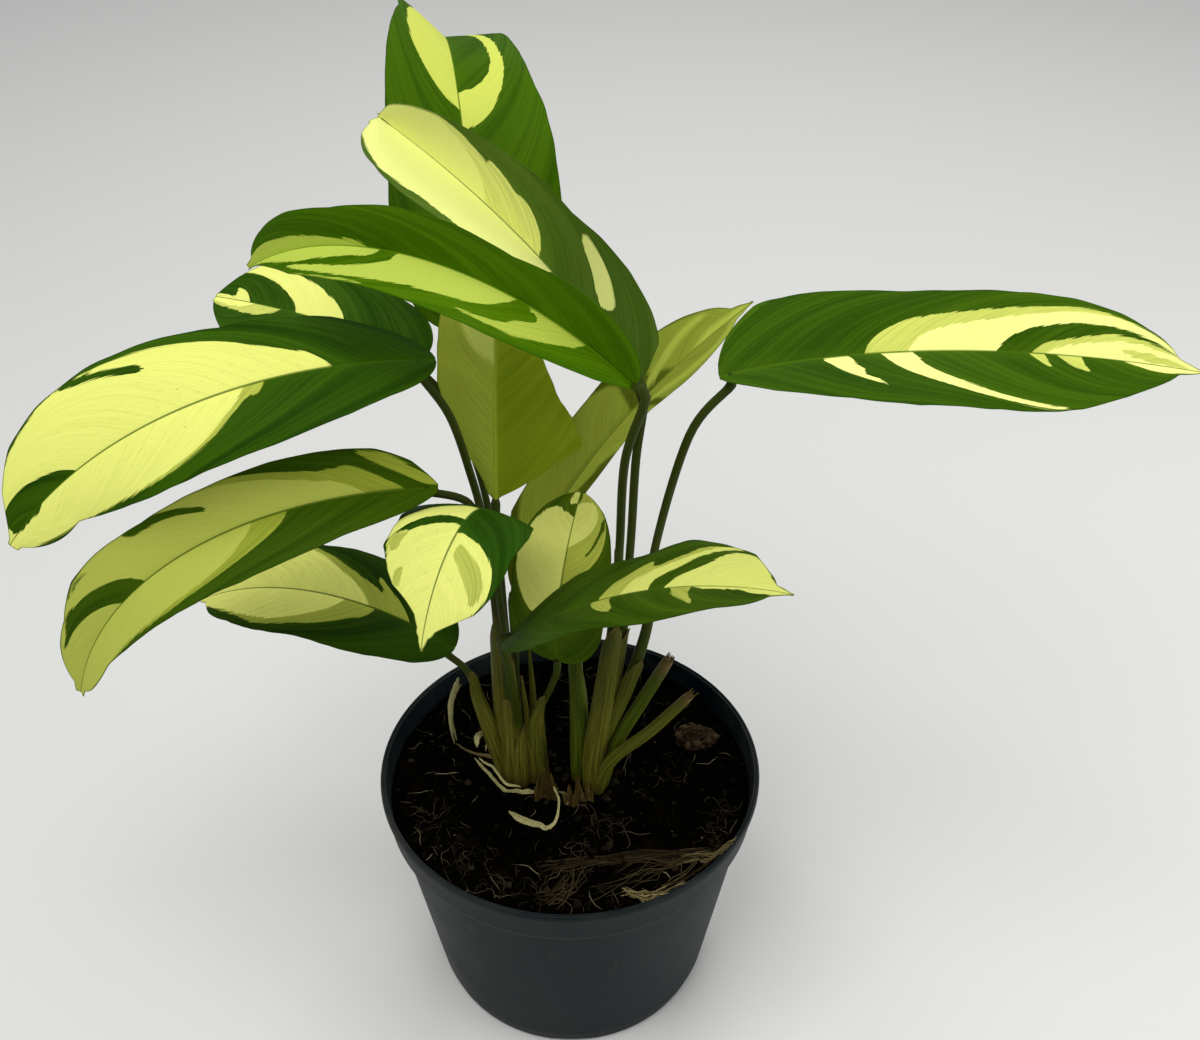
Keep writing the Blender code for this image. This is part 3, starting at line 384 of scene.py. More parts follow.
def srgb(colour):
    """A colour as seen on a screen, from 0 to 255, turned into the shader's linear values."""
    values = np.array(colour, float) / 255
    return (*np.where(values <= 0.04045, values / 12.92, ((values + 0.055) / 1.055) ** 2.4), 1.0)


def blend(first, second, share):
    return tuple((1 - share) * a + share * b for a, b in zip(first, second))


def clamped(values):
    return np.clip(values, 0, 1)


def new_object(name, data):
    made = bpy.data.objects.new(name, data)
    bpy.context.scene.collection.objects.link(made)
    return made


class Signal:
    """What a node gives out, so that a look can be written as a sum."""

    def __init__(self, look, socket):
        self.look = look
        self.socket = socket

    def __add__(self, other):
        return self.look.math("ADD", self, other)

    def __sub__(self, other):
        return self.look.math("SUBTRACT", self, other)

    def __rsub__(self, other):
        return self.look.math("SUBTRACT", other, self)

    def __mul__(self, other):
        return self.look.math("MULTIPLY", self, other)

    def __truediv__(self, other):
        return self.look.math("DIVIDE", self, other)


class Look:
    """A node material in the making."""

    def __init__(self, name, roughness=0.5, specular=0.5):
        self.material = bpy.data.materials.new(name)
        self.material.use_nodes = True
        self.tree = self.material.node_tree
        self.shader = self.tree.nodes["Principled BSDF"]
        self.shader.inputs["Roughness"].default_value = roughness
        self.shader.inputs["Specular IOR Level"].default_value = specular

    def feed(self, socket, value):
        if isinstance(value, Signal):
            self.tree.links.new(value.socket, socket)
        else:
            socket.default_value = value

    def node(self, kind, *values, **settings):
        """A new shader node with its first sockets fed and its settings made."""
        made = self.tree.nodes.new("ShaderNode" + kind)
        for key, value in settings.items():
            setattr(made, key, value)
        for socket, value in zip(made.inputs, values):
            self.feed(socket, value)
        return made

    def signal(self, kind, *values, out=0, **settings):
        return Signal(self, self.node(kind, *values, **settings).outputs[out])

    def attribute(self, name):
        return self.signal("Attribute", out="Fac", attribute_name=name)

    def math(self, operation, *values):
        return self.signal("Math", *values, operation=operation)

    def point(self, x, y, z=0.0):
        return self.signal("CombineXYZ", x, y, z)

    def place(self):
        return self.signal("TexCoord", out="Object")

    def noise(self, vector, scale, detail=2.0, roughness=0.5):
        made = self.node("TexNoise", vector)
        made.inputs["Scale"].default_value = scale
        made.inputs["Detail"].default_value = detail
        made.inputs["Roughness"].default_value = roughness
        return Signal(self, made.outputs["Fac"])

    def cells(self, vector, scale):
        """Distance from the middle of the nearest cell, and a random number for that cell."""
        made = self.node("TexVoronoi", vector)
        made.inputs["Scale"].default_value = scale
        pick = self.signal("SeparateColor", Signal(self, made.outputs["Color"]))
        return Signal(self, made.outputs["Distance"]), pick

    def stretch(self, value, low, high, first=0.0, last=1.0):
        """The value's range from low to high spread over the range from first to last, and no further."""
        return self.signal("MapRange", value, low, high, first, last, clamp=True)

    def mix(self, share, first, second):
        """Two colours mixed. Each is a signal or a colour as seen on a screen."""
        made = self.node("Mix", data_type="RGBA")
        for place, value in ((0, share), (6, first), (7, second)):
            self.feed(made.inputs[place], srgb(value) if isinstance(value, tuple) else value)
        return Signal(self, made.outputs[2])

    def bump(self, height, strength, distance):
        made = self.node("Bump")
        made.inputs["Strength"].default_value = strength
        made.inputs["Distance"].default_value = distance * MM
        self.feed(made.inputs["Height"], height)
        self.feed(self.shader.inputs["Normal"], Signal(self, made.outputs[0]))

    def finish(self, colour, roughness=None):
        self.feed(self.shader.inputs["Base Color"], colour)
        if roughness is not None:
            self.feed(self.shader.inputs["Roughness"], roughness)
        return self.material


def green_colour(look, palette, fine, medium, broad, mottle, away):
    """Dark and lighter green in streaks along the side veins, lighter by the midrib."""
    share = look.stretch(broad, 0.3, 0.7) * 0.45 + look.stretch(medium, 0.3, 0.7) * 0.3
    share = share + look.stretch(fine, 0.35, 0.75) * 0.25
    colour = look.mix(look.stretch(share, 0.22, 0.78), palette.dark, palette.light)
    colour = look.mix(look.stretch(away, 0.0, 5.0, 0.35, 0.0), colour, palette.light)
    return look.mix(look.stretch(mottle, 0.55, 0.75, 0.0, 0.25), colour, palette.light)


def lime_colour(look, palette, fine, medium):
    deep = blend(palette.lime, (0, 0, 0), 0.16)
    colour = look.mix(look.stretch(fine, 0.25, 0.55), deep, palette.lime)
    return look.mix(look.stretch(medium, 0.5, 0.68, 0.0, 0.12), colour, palette.light)


def pale_colour(look, palette, fine, medium, mottle):
    deep = blend(palette.pale, palette.lime, 0.2)
    colour = look.mix(look.stretch(fine, 0.3, 0.6), deep, palette.pale)
    colour = look.mix(look.stretch(medium, 0.5, 0.7, 0.0, 0.65), colour, deep)
    return look.mix(look.stretch(mottle, 0.55, 0.75, 0.0, 0.25), colour, palette.lime)


def rib_and_rim(look, palette, colour, away, under):
    """A midrib that narrows towards the tip, and a thin dark margin."""
    rib_width = look.stretch(look.attribute("along"), 0.0, 1.0, 0.62, 0.17)
    rib = look.stretch(away / rib_width, 0.75, 1.25, 0.8, 0.0)
    colour = look.mix(rib, colour, blend(palette.light, palette.lime, 0.5) if under else palette.light)
    return look.mix(look.stretch(look.attribute("rim"), 0.15, 0.6, 0.75, 0.0), colour, palette.dark)


def blade_look(name, palette, seed, under=False):
    """Green with lime and pale splashes whose edges run along the side veins and break off in teeth."""
    look = Look(name, specular=0.02 if under else 0.03)
    vein = look.attribute("vein")
    reach = look.attribute("reach")
    away = look.math("ABSOLUTE", reach)
    right = look.math("GREATER_THAN", reach, 0.0)

    def grain(across, shift, scale, detail=2.0, roughness=0.5):
        return look.noise(look.point(vein, away * across, seed + shift), scale, detail, roughness)

    fine = grain(0.035, 0.0, 1.5, 3.0, 0.6)
    medium = grain(0.05, 9.0, 0.36)
    broad = grain(0.2, 5.0, 0.055)
    mottle = grain(1.0, 2.0, 0.5, 3.0, 0.6)
    step = look.point(look.math("FLOOR", vein * 0.62), right)
    tooth = look.signal("TexWhiteNoise", step, out="Value", noise_dimensions="2D")
    ragged = (tooth - 0.5) * 0.7 + (fine - 0.5) * 1.5

    def splash(tone):
        left_field, right_field = look.attribute(tone + "_left"), look.attribute(tone + "_right")
        chosen = right * right_field + (1.0 - right) * left_field
        return look.stretch(chosen + ragged, *(SOFT_EDGE if under else CRISP_EDGE))

    colour = green_colour(look, palette, fine, medium, broad, mottle, away)
    colour = look.mix(splash("lime"), colour, lime_colour(look, palette, fine, medium))
    colour = look.mix(splash("pale"), colour, pale_colour(look, palette, fine, medium, mottle))
    colour = rib_and_rim(look, palette, colour, away, under)
    spot, pick = look.cells(look.point(vein, away, seed), 0.13)
    chosen = look.stretch(pick, 0.6, 0.62) * look.stretch(broad, 0.42, 0.58)
    colour = look.mix(look.stretch(spot, 0.035, 0.055, 0.55, 0.0) * chosen, colour, SPOT_COLOUR)
    look.bump(fine * 0.7 + broad * 0.3, 0.35, 0.25)
    return look.finish(colour, look.stretch(fine, 0.2, 0.8, *((0.6, 0.74) if under else (0.5, 0.66))))


def blade_outline(u):
    """Half width at the share u of the length, as a share of the widest: round base, flank, drip tip."""
    rise = np.sqrt(1 - np.maximum(0.0, 1 - u / BASE_SHARE) ** BASE_ROUNDNESS)
    taper = clamped((u - TAPER_START) / (1 - DRIP_SHARE - TAPER_START))
    fall = (1 - taper**TAPER_ROUNDNESS) ** TAPER_POWER
    drip_run = DRIP_SPREAD * DRIP_SHARE
    drip = np.where(u > 1 - drip_run, DRIP_WIDTH * (1 - u) / drip_run, 0.0)
    return np.maximum(rise * fall, drip)


def blade_frames(blade, stations):
    """Place, direction, rightward and upward unit vectors of the midrib at each station."""
    fine = np.linspace(0, 1, 121)
    pitch = np.radians(blade.pitch[0] + (blade.pitch[1] - blade.pitch[0]) * fine**blade.bend)
    azimuth = np.radians(blade.azimuth + blade.turn * fine)
    flat = np.cos(pitch)
    along = np.stack([np.cos(azimuth) * flat, np.sin(azimuth) * flat, np.sin(pitch)], 1)
    steps = (along[1:] + along[:-1]) / 2 * blade.length / (len(fine) - 1)
    places = np.array(blade.base, float) + np.concatenate([np.zeros((1, 3)), np.cumsum(steps, 0)])
    level = np.stack([np.sin(azimuth), -np.cos(azimuth), 0 * azimuth], 1)
    upright = np.cross(level, along)
    roll = np.radians(blade.roll[0] + (blade.roll[1] - blade.roll[0]) * fine)[:, None]
    right = np.cos(roll) * level + np.sin(roll) * upright
    up = np.cos(roll) * upright - np.sin(roll) * level
    tables = (places, along, right, up)
    return [np.stack([np.interp(stations, fine, column) for column in table.T], 1) for table in tables]


def half_widths(blade, stations, shares, margins=FULL_MARGINS):
    """Half width in millimetres at every station, for the side that each share is on."""
    widest = blade.width / 2 * blade_outline(stations)[:, None]
    least = (BASE_HALF_WIDTH + (TIP_HALF_WIDTH - BASE_HALF_WIDTH) * stations)[:, None]
    along, left, right = (np.array(row) / 100 for row in margins)
    kept = np.where(shares < 0, np.interp(stations, along, left)[:, None],
                    np.interp(stations, along, right)[:, None])
    return np.maximum(least, widest * (1 + np.copysign(1.0, shares) * blade.lean) * kept)


def vein_foot(stations, reach):
    """Where on the midrib the side vein through each place starts: veins sweep towards the tip."""
    reach = np.minimum(np.abs(reach), 1.15)
    return stations[:, None] - 0.19 * reach - 0.22 * reach**4


def rounded(outline):
    """The outline with its corners cut twice, which keeps it inside the points that describe it."""
    for _ in range(2):
        after = np.roll(outline, -1, 0)
        outline = np.stack([0.75 * outline + 0.25 * after, 0.25 * outline + 0.75 * after], 1)
        outline = outline.reshape(-1, 2)
    return outline


def inside_depth(points, outline):
    """How deep each point lies inside the outline, minus outside it."""
    start, end = outline, np.roll(outline, -1, 0)
    edge = end - start
    offset = points[:, None] - start[None]
    along = clamped((offset * edge).sum(2) / np.maximum((edge**2).sum(1), 1e-9))
    nearest = norm(offset - along[..., None] * edge, axis=2).min(1)
    straddles = (start[None, :, 1] > points[:, None, 1]) != (end[None, :, 1] > points[:, None, 1])
    rise = np.where(np.abs(edge[:, 1]) > 1e-9, edge[:, 1], 1e-9)
    crossing = start[:, 0] + (points[:, None, 1] - start[:, 1]) * edge[:, 0] / rise
    inside = (straddles & (points[:, None, 0] < crossing)).sum(1) % 2 == 1
    return np.where(inside, nearest, -nearest)


def splash_fields(name, blade, stations, shares, halves):
    """For each tone and side, the depth inside its splashes at every vertex of the blade."""
    flat = np.stack(np.broadcast_arrays(stations[:, None] * blade.length, shares * halves), 2)
    flat = flat.reshape(-1, 2)
    titles = [tone + side for tone in ("lime", "pale") for side in ("_left", "_right")]
    fields = {title: np.full(len(flat), FAR_OUTSIDE) for title in titles}
    for tone, along, across in SPLASHES[name]:
        along, across = np.array(along) / 100, np.array(across) / 100
        side = np.sign(across.sum())
        # A point at 0 across meets the midrib
        across = np.where(across == 0, -PAST_MIDRIB * side, across)
        widths = half_widths(blade, np.clip(along, 0.02, 0.98), np.full(1, side))[:, 0]
        depth = inside_depth(flat, rounded(np.stack([along * blade.length, across * widths], 1)))
        where = "_left" if side < 0 else "_right"
        lime, pale = fields["lime" + where], fields["pale" + where]
        if tone == "pale":
            np.maximum(pale, depth, out=pale)
        elif tone == "dark":
            np.minimum(lime, -depth, out=lime)
        else:
            np.maximum(lime, depth + (OVERLAP if tone == "over" else 0), out=lime)
        # Dark takes the pale away under it, and so does lime that is laid over it
        if tone in ("dark", "over"):
            np.minimum(pale, -depth, out=pale)
    return fields


def grid_faces(rows, columns, wrap=False, flip=False):
    """Quads between neighbouring rows of points."""
    index = np.arange(rows * columns).reshape(rows, columns)
    if wrap:
        index = np.column_stack([index, index[:, 0]])
    faces = np.stack([index[:-1, :-1], index[:-1, 1:], index[1:, 1:], index[1:, :-1]], 2).reshape(-1, 4)
    return faces[:, ::-1] if flip else faces


def fan(first, count, middle, flip=False):
    """Triangles from a ring of points, numbered from the first, to the point in its middle."""
    ring = first + np.arange(count)
    after = np.roll(ring, -1)
    edge = [after, ring] if flip else [ring, after]
    return np.stack([*edge, np.full(count, middle)], 1)


class Pile:
    """Points in millimetres, faces and point values, gathered for one mesh."""

    def __init__(self, *names):
        self.points, self.faces, self.slots, self.count = [], [], [], 0
        self.values = {name: [] for name in names}

    def add(self, points, faces, slots=(0, 0, 0), **values):
        """Adds groups of faces on the points, with a material slot for each group."""
        points = np.asarray(points, float).reshape(-1, 3)
        self.points.append(points)
        for group, slot in zip(faces, slots):
            self.faces += (np.asarray(group) + self.count).tolist()
            self.slots += [slot] * len(group)
        for name, kept in self.values.items():
            given = np.asarray(values.get(name, 0.0), float).reshape(-1)
            kept.append(np.broadcast_to(given, (len(points),)))
        self.count += len(points)

    def piece(self, name, materials, replaced=(), sharp=None):
        mesh = bpy.data.meshes.new(name)
        mesh.from_pydata((np.concatenate(self.points) * MM).tolist(), [], self.faces)
        for title, kept in self.values.items():
            layer = mesh.attributes.new(title, "FLOAT", "POINT")
            layer.data.foreach_set("value", np.concatenate(kept).astype("f"))
        for material in materials:
            mesh.materials.append(material)
        mesh.polygons.foreach_set("material_index", self.slots)
        mesh.shade_smooth()
        if sharp:
            mesh.set_sharp_from_angle(angle=math.radians(sharp))
        mesh.update()
        obj = new_object(name, mesh)
        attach(obj, "root")
        if replaced:
            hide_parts(*replaced)


def surface_normals(points):
    """Unit normals of a grid of points."""
    along = np.gradient(points, axis=0)
    across = np.gradient(points, axis=1)
    normals = np.cross(across, along)
    return normals / np.maximum(norm(normals, axis=2, keepdims=True), 1e-9)


def waver(values, seed):
    """Slow noise of one variable, from -1 to 1."""
    return np.array([noise.noise(Vector((float(v), seed, 0.5 * seed))) for v in values])


def blade_points(blade, stations, shares, margins, seed):
    """The blade's middle surface, folded at a rounded midrib, with the margins gently waved."""
    def margin_noise(density, shift):
        sides = np.stack([waver(stations * density, seed + shift + side) for side in (0, 7)])
        return sides[(shares > 0).astype(int)].T

    places, _, rights, ups = blade_frames(blade, stations)
    halves = half_widths(blade, stations, shares, margins)
    halves = halves * np.where(np.abs(shares) > 0.5, 1 + 0.014 * margin_noise(22, 0), 1.0)
    fold = math.radians(blade.fold)
    outline = blade_outline(stations)[:, None]
    phase = math.tau * WAVES_PER_BLADE * stations[:, None] + np.copysign(1.0, shares)
    ripple = blade.wave * np.sin(phase) * outline + 0.7 * margin_noise(9, 3) * outline * shares**2
    reach = np.sqrt(shares**2 + MIDRIB_ROUNDING**2) - MIDRIB_ROUNDING
    sideways = halves * shares * math.cos(fold)
    rise = halves * (reach * math.sin(fold) - blade.cup * shares**2) + ripple * shares**2
    middle = places[:, None] + sideways[..., None] * rights[:, None] + rise[..., None] * ups[:, None]
    return middle, halves, ups


def blade_surfaces(stations, middle, normals, halves, reach, foot):
    """The top, grooved along the midrib, and the ridged underside, both with the veins in relief."""
    away = np.abs(reach)
    waves = VEIN_RELIEF * np.sin(math.tau * foot / VEIN_SPACING) * clamped(away / 4)
    waves *= clamped((halves - away) / 3)
    fading = (1 - 0.75 * stations)[:, None]
    groove = 0.4 * fading * np.exp(-((away / 0.9) ** 2))
    ridge = 0.75 * fading * np.exp(-((away / 0.85) ** 2))
    thickness = BLADE_THICKNESS * (0.55 + 0.45 * clamped((halves - away) / 2.5))
    top = middle + normals * (thickness / 2 + waves - groove)[..., None]
    bottom = middle + normals * (waves - thickness / 2 - groove - ridge)[..., None]
    return top, bottom


def build_blade(name, blade, seed):
    margins = MARGINS[name]
    # The blade stops at the last place in its margins
    end = margins[0][-1] / 100
    spread = np.linspace(0, 1, BLADE_ROWS)
    stations = end * (0.6 * spread + 0.4 * (1 - np.cos(math.pi * spread)) / 2)
    shares = np.linspace(-1, 1, BLADE_COLUMNS)
    shares = np.sign(shares) * np.abs(shares) ** 1.3
    middle, halves, ups = blade_points(blade, stations, shares, margins, seed)
    normals = surface_normals(middle)
    normals *= np.sign((normals * ups[:, None]).sum(2, keepdims=True))
    reach = shares * halves
    foot = vein_foot(stations, reach / half_widths(blade, stations, shares)) * blade.length
    top, bottom = blade_surfaces(stations, middle, normals, halves, reach, foot)
    ends = np.minimum(stations, end - stations)[:, None] * blade.length
    values = splash_fields(name, blade, stations, shares, halves)
    values.update(vein=foot, reach=reach, along=np.repeat(stations, BLADE_COLUMNS))
    values.update(rim=np.minimum(halves - np.abs(reach), ends))
    pile = Pile(*values)
    add_shell(pile, top, bottom, (0, 1, 0), **values)
    shown_below = name in SHOWN_FROM_BELOW
    top_palette = PALETTES["upper_left"] if shown_below else PALETTES[name]
    low_palette = PALETTES[name] if shown_below else PLAIN_UNDERSIDE
    title = "blade_" + name
    top_look = blade_look(title + "_top", top_palette, seed)
    under_look = blade_look(title + "_under", low_palette, seed, True)
    pile.piece(title, [top_look, under_look], ["leaf_" + name], sharp=50)


# Stalks
Stalk = namedtuple("Stalk", "leaf seat points foot_radius slender_radius sheath seam tone")
LEFT_STALKS = (
    Stalk("long_left", 0.03, ((-29, 4, 156), (-30, 5, 209), (-33, 3, 255), (-37, 2, 281), (-43, 0, 308)),
          2.8, 1.6, 208, 290, 0.9),
    Stalk("second_left", 0.02, ((-26, 0, 159), (-28, 4, 205), (-34, 7, 240), (-38, 1, 266)),
          2.8, 1.6, 164, 250, 0.9),
    Stalk("low_left", 0.02, ((-29.5, 3, 114), (-34, 2, 136), (-39, 0, 160), (-43, -3, 180)),
          3, 1.5, 182, 315, 0.75),
    Stalk("front_small", 0, ((-26, 4, 160), (-27, 1, 200), (-28, -6, 238)), 2.8, 1.5, 186, 300, 0.8),
    Stalk("low_right", 0, ((-22, -2, 143), (-23, -10, 172), (-24, -24, 204)), 2.8, 1.6, 150, 330, 0.8),
    Stalk("inner_furled", 0, ((-15, 2, 125), (-14, -4, 153), (-8, -11, 176)), 3, 1.4, 174, 225, 0.7),
    Stalk("tall_under", 0, ((-24, 12, 148), (-24, 20, 176)), 3, 1.8, 150, 60, 0.5),
    Stalk("middle_under", 0, ((-26, 7, 160), (-27, 7, 207), (-28, 8, 240)), 2.8, 1.6, 170, 120, 0.6),
    Stalk("far_left", 0.05,
          ((-26, 10, 150), (-28, 14, 190), (-30, 20, 225), (-36, 28, 262), (-47, 36, 290)),
          2.8, 1.5, 170, 100, 0.5),
)
RIGHT_STALKS = (
    Stalk("upper_left", 0, ((11, -5, 130), (15, -7, 168), (19, -9, 210), (21, -13, 255), (22.5, -24, 304)),
          4.2, 1.7, 214, 285, 0.8),
    Stalk("upper_pale", 0, ((11, -1, 130), (17, -2, 165), (23, -3, 208), (25.5, -4, 250), (27, -4, 290)),
          4, 1.7, 206, 330, 0.9),
    Stalk("long_right", 0.02,
          ((12, -2, 130), (17, -4, 150), (25, -4, 173), (33, -4, 207), (35, -3, 245), (47, -2, 300)),
          3.4, 1.7, 190, 290, 0.6),
    Stalk("top_back", 0, ((4, 2, 144), (3, 16, 172), (2, 42, 205), (-12, 62, 245)),
          3.2, 1.8, 176, 240, 0.2),
)
# Cut stubs, the young spike and short sheaths: points, radius at foot and end, tone, length of the dry end
STUBS = (
    (((12, -3, 106), (20, -4, 136), (31, -5, 163), (42, -6, 189)), 3.4, 2.6, 0.3, 9),
    (((10, -6, 106), (18, -9, 131), (35, -12, 153), (51, -14, 176)), 3.2, 2.2, 0.8, 5),
    (((13, -2, 106), (19, -2, 175), (20, -2, 215), (20, -2, 245)), 2, 1, 0.2, 2),
)
SHEATHS = (
    (((-17, 0, 106), (-18, -1, 140), (-20, -3, 177)), 3.4, 0.5, 0.9, 3),
    (((-23, -2, 106), (-25, -1, 150), (-25, 0, 189)), 3.4, 0.5, 1, 3),
    (((-16, 6, 106), (-16, 7, 150), (-17, 6, 187)), 3.2, 0.5, 0.8, 3),
)


def smooth_route(points, spacing):
    """A Catmull-Rom curve through the points, read about every `spacing`."""
    knots = [np.array(point, float) for point in points]
    padded = [2 * knots[0] - knots[1], *knots, 2 * knots[-1] - knots[-2]]
    route = [knots[0]]
    for before, start, end, after in zip(padded, padded[1:], padded[2:], padded[3:]):
        steps = max(1, round(norm(end - start) / spacing))
        for t in np.linspace(0, 1, steps + 1)[1:]:
            bend = 2 * before - 5 * start + 4 * end - after
            twist = 3 * start - before - 3 * end + after
            route.append(0.5 * (2 * start + (end - before) * t + bend * t**2 + twist * t**3))
    return np.array(route)


def ring_frames(route, guide=(0.0, 1.0, 0.03)):
    """Two unit vectors across the route at each point, turning as little as they can."""
    ahead = np.gradient(route, axis=0)
    ahead /= norm(ahead, axis=1)[:, None]
    side = np.cross(ahead[0], guide)
    sides = []
    for direction in ahead:
        side = side - direction * (side @ direction)
        side = side / norm(side)
        sides.append(side)
    sides = np.array(sides)
    return sides, np.cross(ahead, sides)


def spokes(route, turns):
    """Unit vectors across the route: a row for each place on it, a column for each turn in radians."""
    first, second = ring_frames(route)
    return first[:, None] * np.cos(turns)[..., None] + second[:, None] * np.sin(turns)[..., None]


def add_tube(pile, route, radii, sides, **values):
    """A round closed tube with its far end domed a little."""
    turns = np.linspace(0, math.tau, sides, endpoint=False)
    grid = route[:, None] + radii[:, None, None] * spokes(route, turns)
    rows = len(route)
    ahead = route[-1] - route[-2]
    tip = route[-1] + 0.5 * radii[-1] * ahead / norm(ahead)
    spread = {}
    for name, value in values.items():
        per_row = np.broadcast_to(np.asarray(value, float), (rows,))
        spread[name] = np.concatenate([np.repeat(per_row, sides), [per_row[0], per_row[-1]]])
    if "turn" in pile.values:
        spread["turn"] = np.concatenate([np.tile(turns, rows), [0.0, 0.0]])
    caps = [fan(0, sides, rows * sides, flip=True), fan((rows - 1) * sides, sides, rows * sides + 1)]
    points = np.concatenate([grid.reshape(-1, 3), [route[0], tip]])
    pile.add(points, [grid_faces(rows, sides, wrap=True), *caps], **spread)


def add_shell(pile, outer, inner, slots=(0, 0, 0), **values):
    """A thin closed sheet between two grids of points, the outer one facing out: outside, inside, rim."""
    rows, columns = outer.shape[:2]
    size = rows * columns
    index = np.arange(size).reshape(rows, columns)
    loop = np.concatenate([index[0], index[1:, -1], index[-1, -2::-1], index[-2:0:-1, 0]])
    after = np.roll(loop, -1)
    wall = np.stack([after, loop, loop + size, after + size], 1)
    faces = [grid_faces(rows, columns), grid_faces(rows, columns, flip=True) + size, wall]
    doubled = {name: np.tile(np.asarray(value, float).ravel(), 2) for name, value in values.items()}
    pile.add(np.concatenate([outer.reshape(-1, 3), inner.reshape(-1, 3)]), faces, slots, **doubled)


def stalk_route(stalk, crown):
    """From the crown, through the stalk's points, to its seat at the foot of the blade or under it."""
    places, along, _, ups = blade_frames(BLADES[stalk.leaf], np.array([stalk.seat]))
    if stalk.seat == 0.0:
        seat = places[0] + 0.6 * along[0]
        lead = places[0] - PULVINUS_LENGTH * along[0]
    else:
        seat = places[0] - 0.5 * ups[0]
        lead = places[0] - PULVINUS_LENGTH * ups[0]
    x, y, _ = stalk.points[0]
    spread = np.array([x - crown[0], y - crown[1]])
    reach = crown[2] - stalk.foot_radius - 0.8
    spread *= min(1.0, reach / max(reach, norm(spread)))
    foot = (crown[0] + spread[0], crown[1] + spread[1], STALK_FOOT)
    return smooth_route([foot, *stalk.points, lead, seat], STALK_STEP)


def stalk_radii(route, foot_radius, slender_radius):
    steps = norm(np.diff(route, axis=0), axis=1)
    run = np.concatenate([[0.0], np.cumsum(steps)])
    share = clamped(run / (0.62 * run[-1]))
    sheath = foot_radius + (slender_radius - foot_radius) * share**1.3
    swell = clamped((run - run[-1] + 1.6 * PULVINUS_LENGTH) / PULVINUS_LENGTH)
    end = np.clip((run[-1] - run) / 1.5, 0.6, 1)
    return sheath * (1 + 0.22 * swell) * end


def add_sheath(pile, stalk, route, radii, girth):
    """The leaf base wrapped round its stalk: open along a seam, and ending in a tongue."""
    inside = route[:, 2] < stalk.sheath
    route, radii = route[inside], radii[inside]
    below = (stalk.sheath - route[:, 2])[:, None]
    shares = np.linspace(-1, 1, 25)
    turns = math.radians(stalk.seam + 180) + math.radians(158) * clamped(below / 34) ** 0.6 * shares
    lift = 0.35 + 0.5 * np.abs(shares) ** 3 + 0.25 * clamped(below / 40)
    loose = 1 + (girth - 1) * clamped(below / 30) * clamped((route[:, 2:3] - STALK_FOOT) / 30)
    reach = radii[:, None] * 1.06 * loose + lift
    wheel = spokes(route, turns)
    outer = route[:, None] + reach[..., None] * wheel
    inner = route[:, None] + (reach - 0.35)[..., None] * wheel
    edge = clamped((np.abs(shares) - 0.8) / 0.2) + clamped(1 - below / 7)
    rise = np.broadcast_to(route[:, 2:3], turns.shape)
    tone = np.full(turns.shape, stalk.tone + 0.12)
    add_shell(pile, outer, inner, rise=rise, turn=turns, tone=tone, dry=clamped(0.75 * edge))


def stalk_look():
    """Olive sheaths streaked along their length that turn into dark green stalks, brown where dry."""
    look = Look("stalk_green", specular=0.1)
    rise, turn, tone, dry = (look.attribute(name) for name in ("rise", "turn", "tone", "dry"))
    lengthwise = look.point(look.math("COSINE", turn) * 4.0, look.math("SINE", turn) * 4.0, rise * 0.025)
    streaks = look.noise(lengthwise, 1.4, 4.0, 0.7)
    fibres = look.noise(lengthwise, 5.0, 2.0)
    shared = look.mix(tone, (84, 114, 14), (126, 122, 44))
    deep = look.mix(tone, (44, 66, 2), (62, 62, 8))
    colour = look.mix(look.stretch(streaks, 0.36, 0.62), deep, shared)
    colour = look.mix(look.stretch(rise + streaks * 30.0, 165.0, 240.0), colour, (50, 62, 6))
    colour = look.mix(look.stretch(rise, 109.0, 119.0, 0.85, 0.0), colour, (66, 50, 22))
    colour = look.mix(look.stretch(fibres, 0.45, 0.7) * 0.3, colour, (60, 56, 20))
    colour = look.mix(dry, colour, look.mix(fibres, (62, 48, 22), (118, 100, 56)))
    look.bump(fibres + streaks, 0.5, 0.3)
    return look.finish(colour, look.stretch(streaks, 0.3, 0.7, 0.42, 0.6))


def add_frayed_end(pile, route, radius, tone):
    """Torn shreds round the cut end of a stub."""
    side, across = ring_frames(route)
    ahead = (route[-1] - route[-2]) / norm(route[-1] - route[-2])
    for i in range(SHREDS):
        turn = math.tau * (i + 0.5 * chance.random()) / SHREDS
        out = math.cos(turn) * side[-1] + math.sin(turn) * across[-1]
        reach = 1.0 + 3.0 * chance.random() ** 2
        foot = route[-1] + 0.72 * radius * out
        shred = [foot - 2.0 * ahead, foot, foot + reach * (ahead + 0.3 * (chance.random() - 0.3) * out)]
        shred = smooth_route(shred, 0.8)
        radii = np.linspace(0.3, 0.12, len(shred)) * radius
        add_tube(pile, shred, radii, 6, rise=shred[:, 2], tone=tone, dry=0.95)


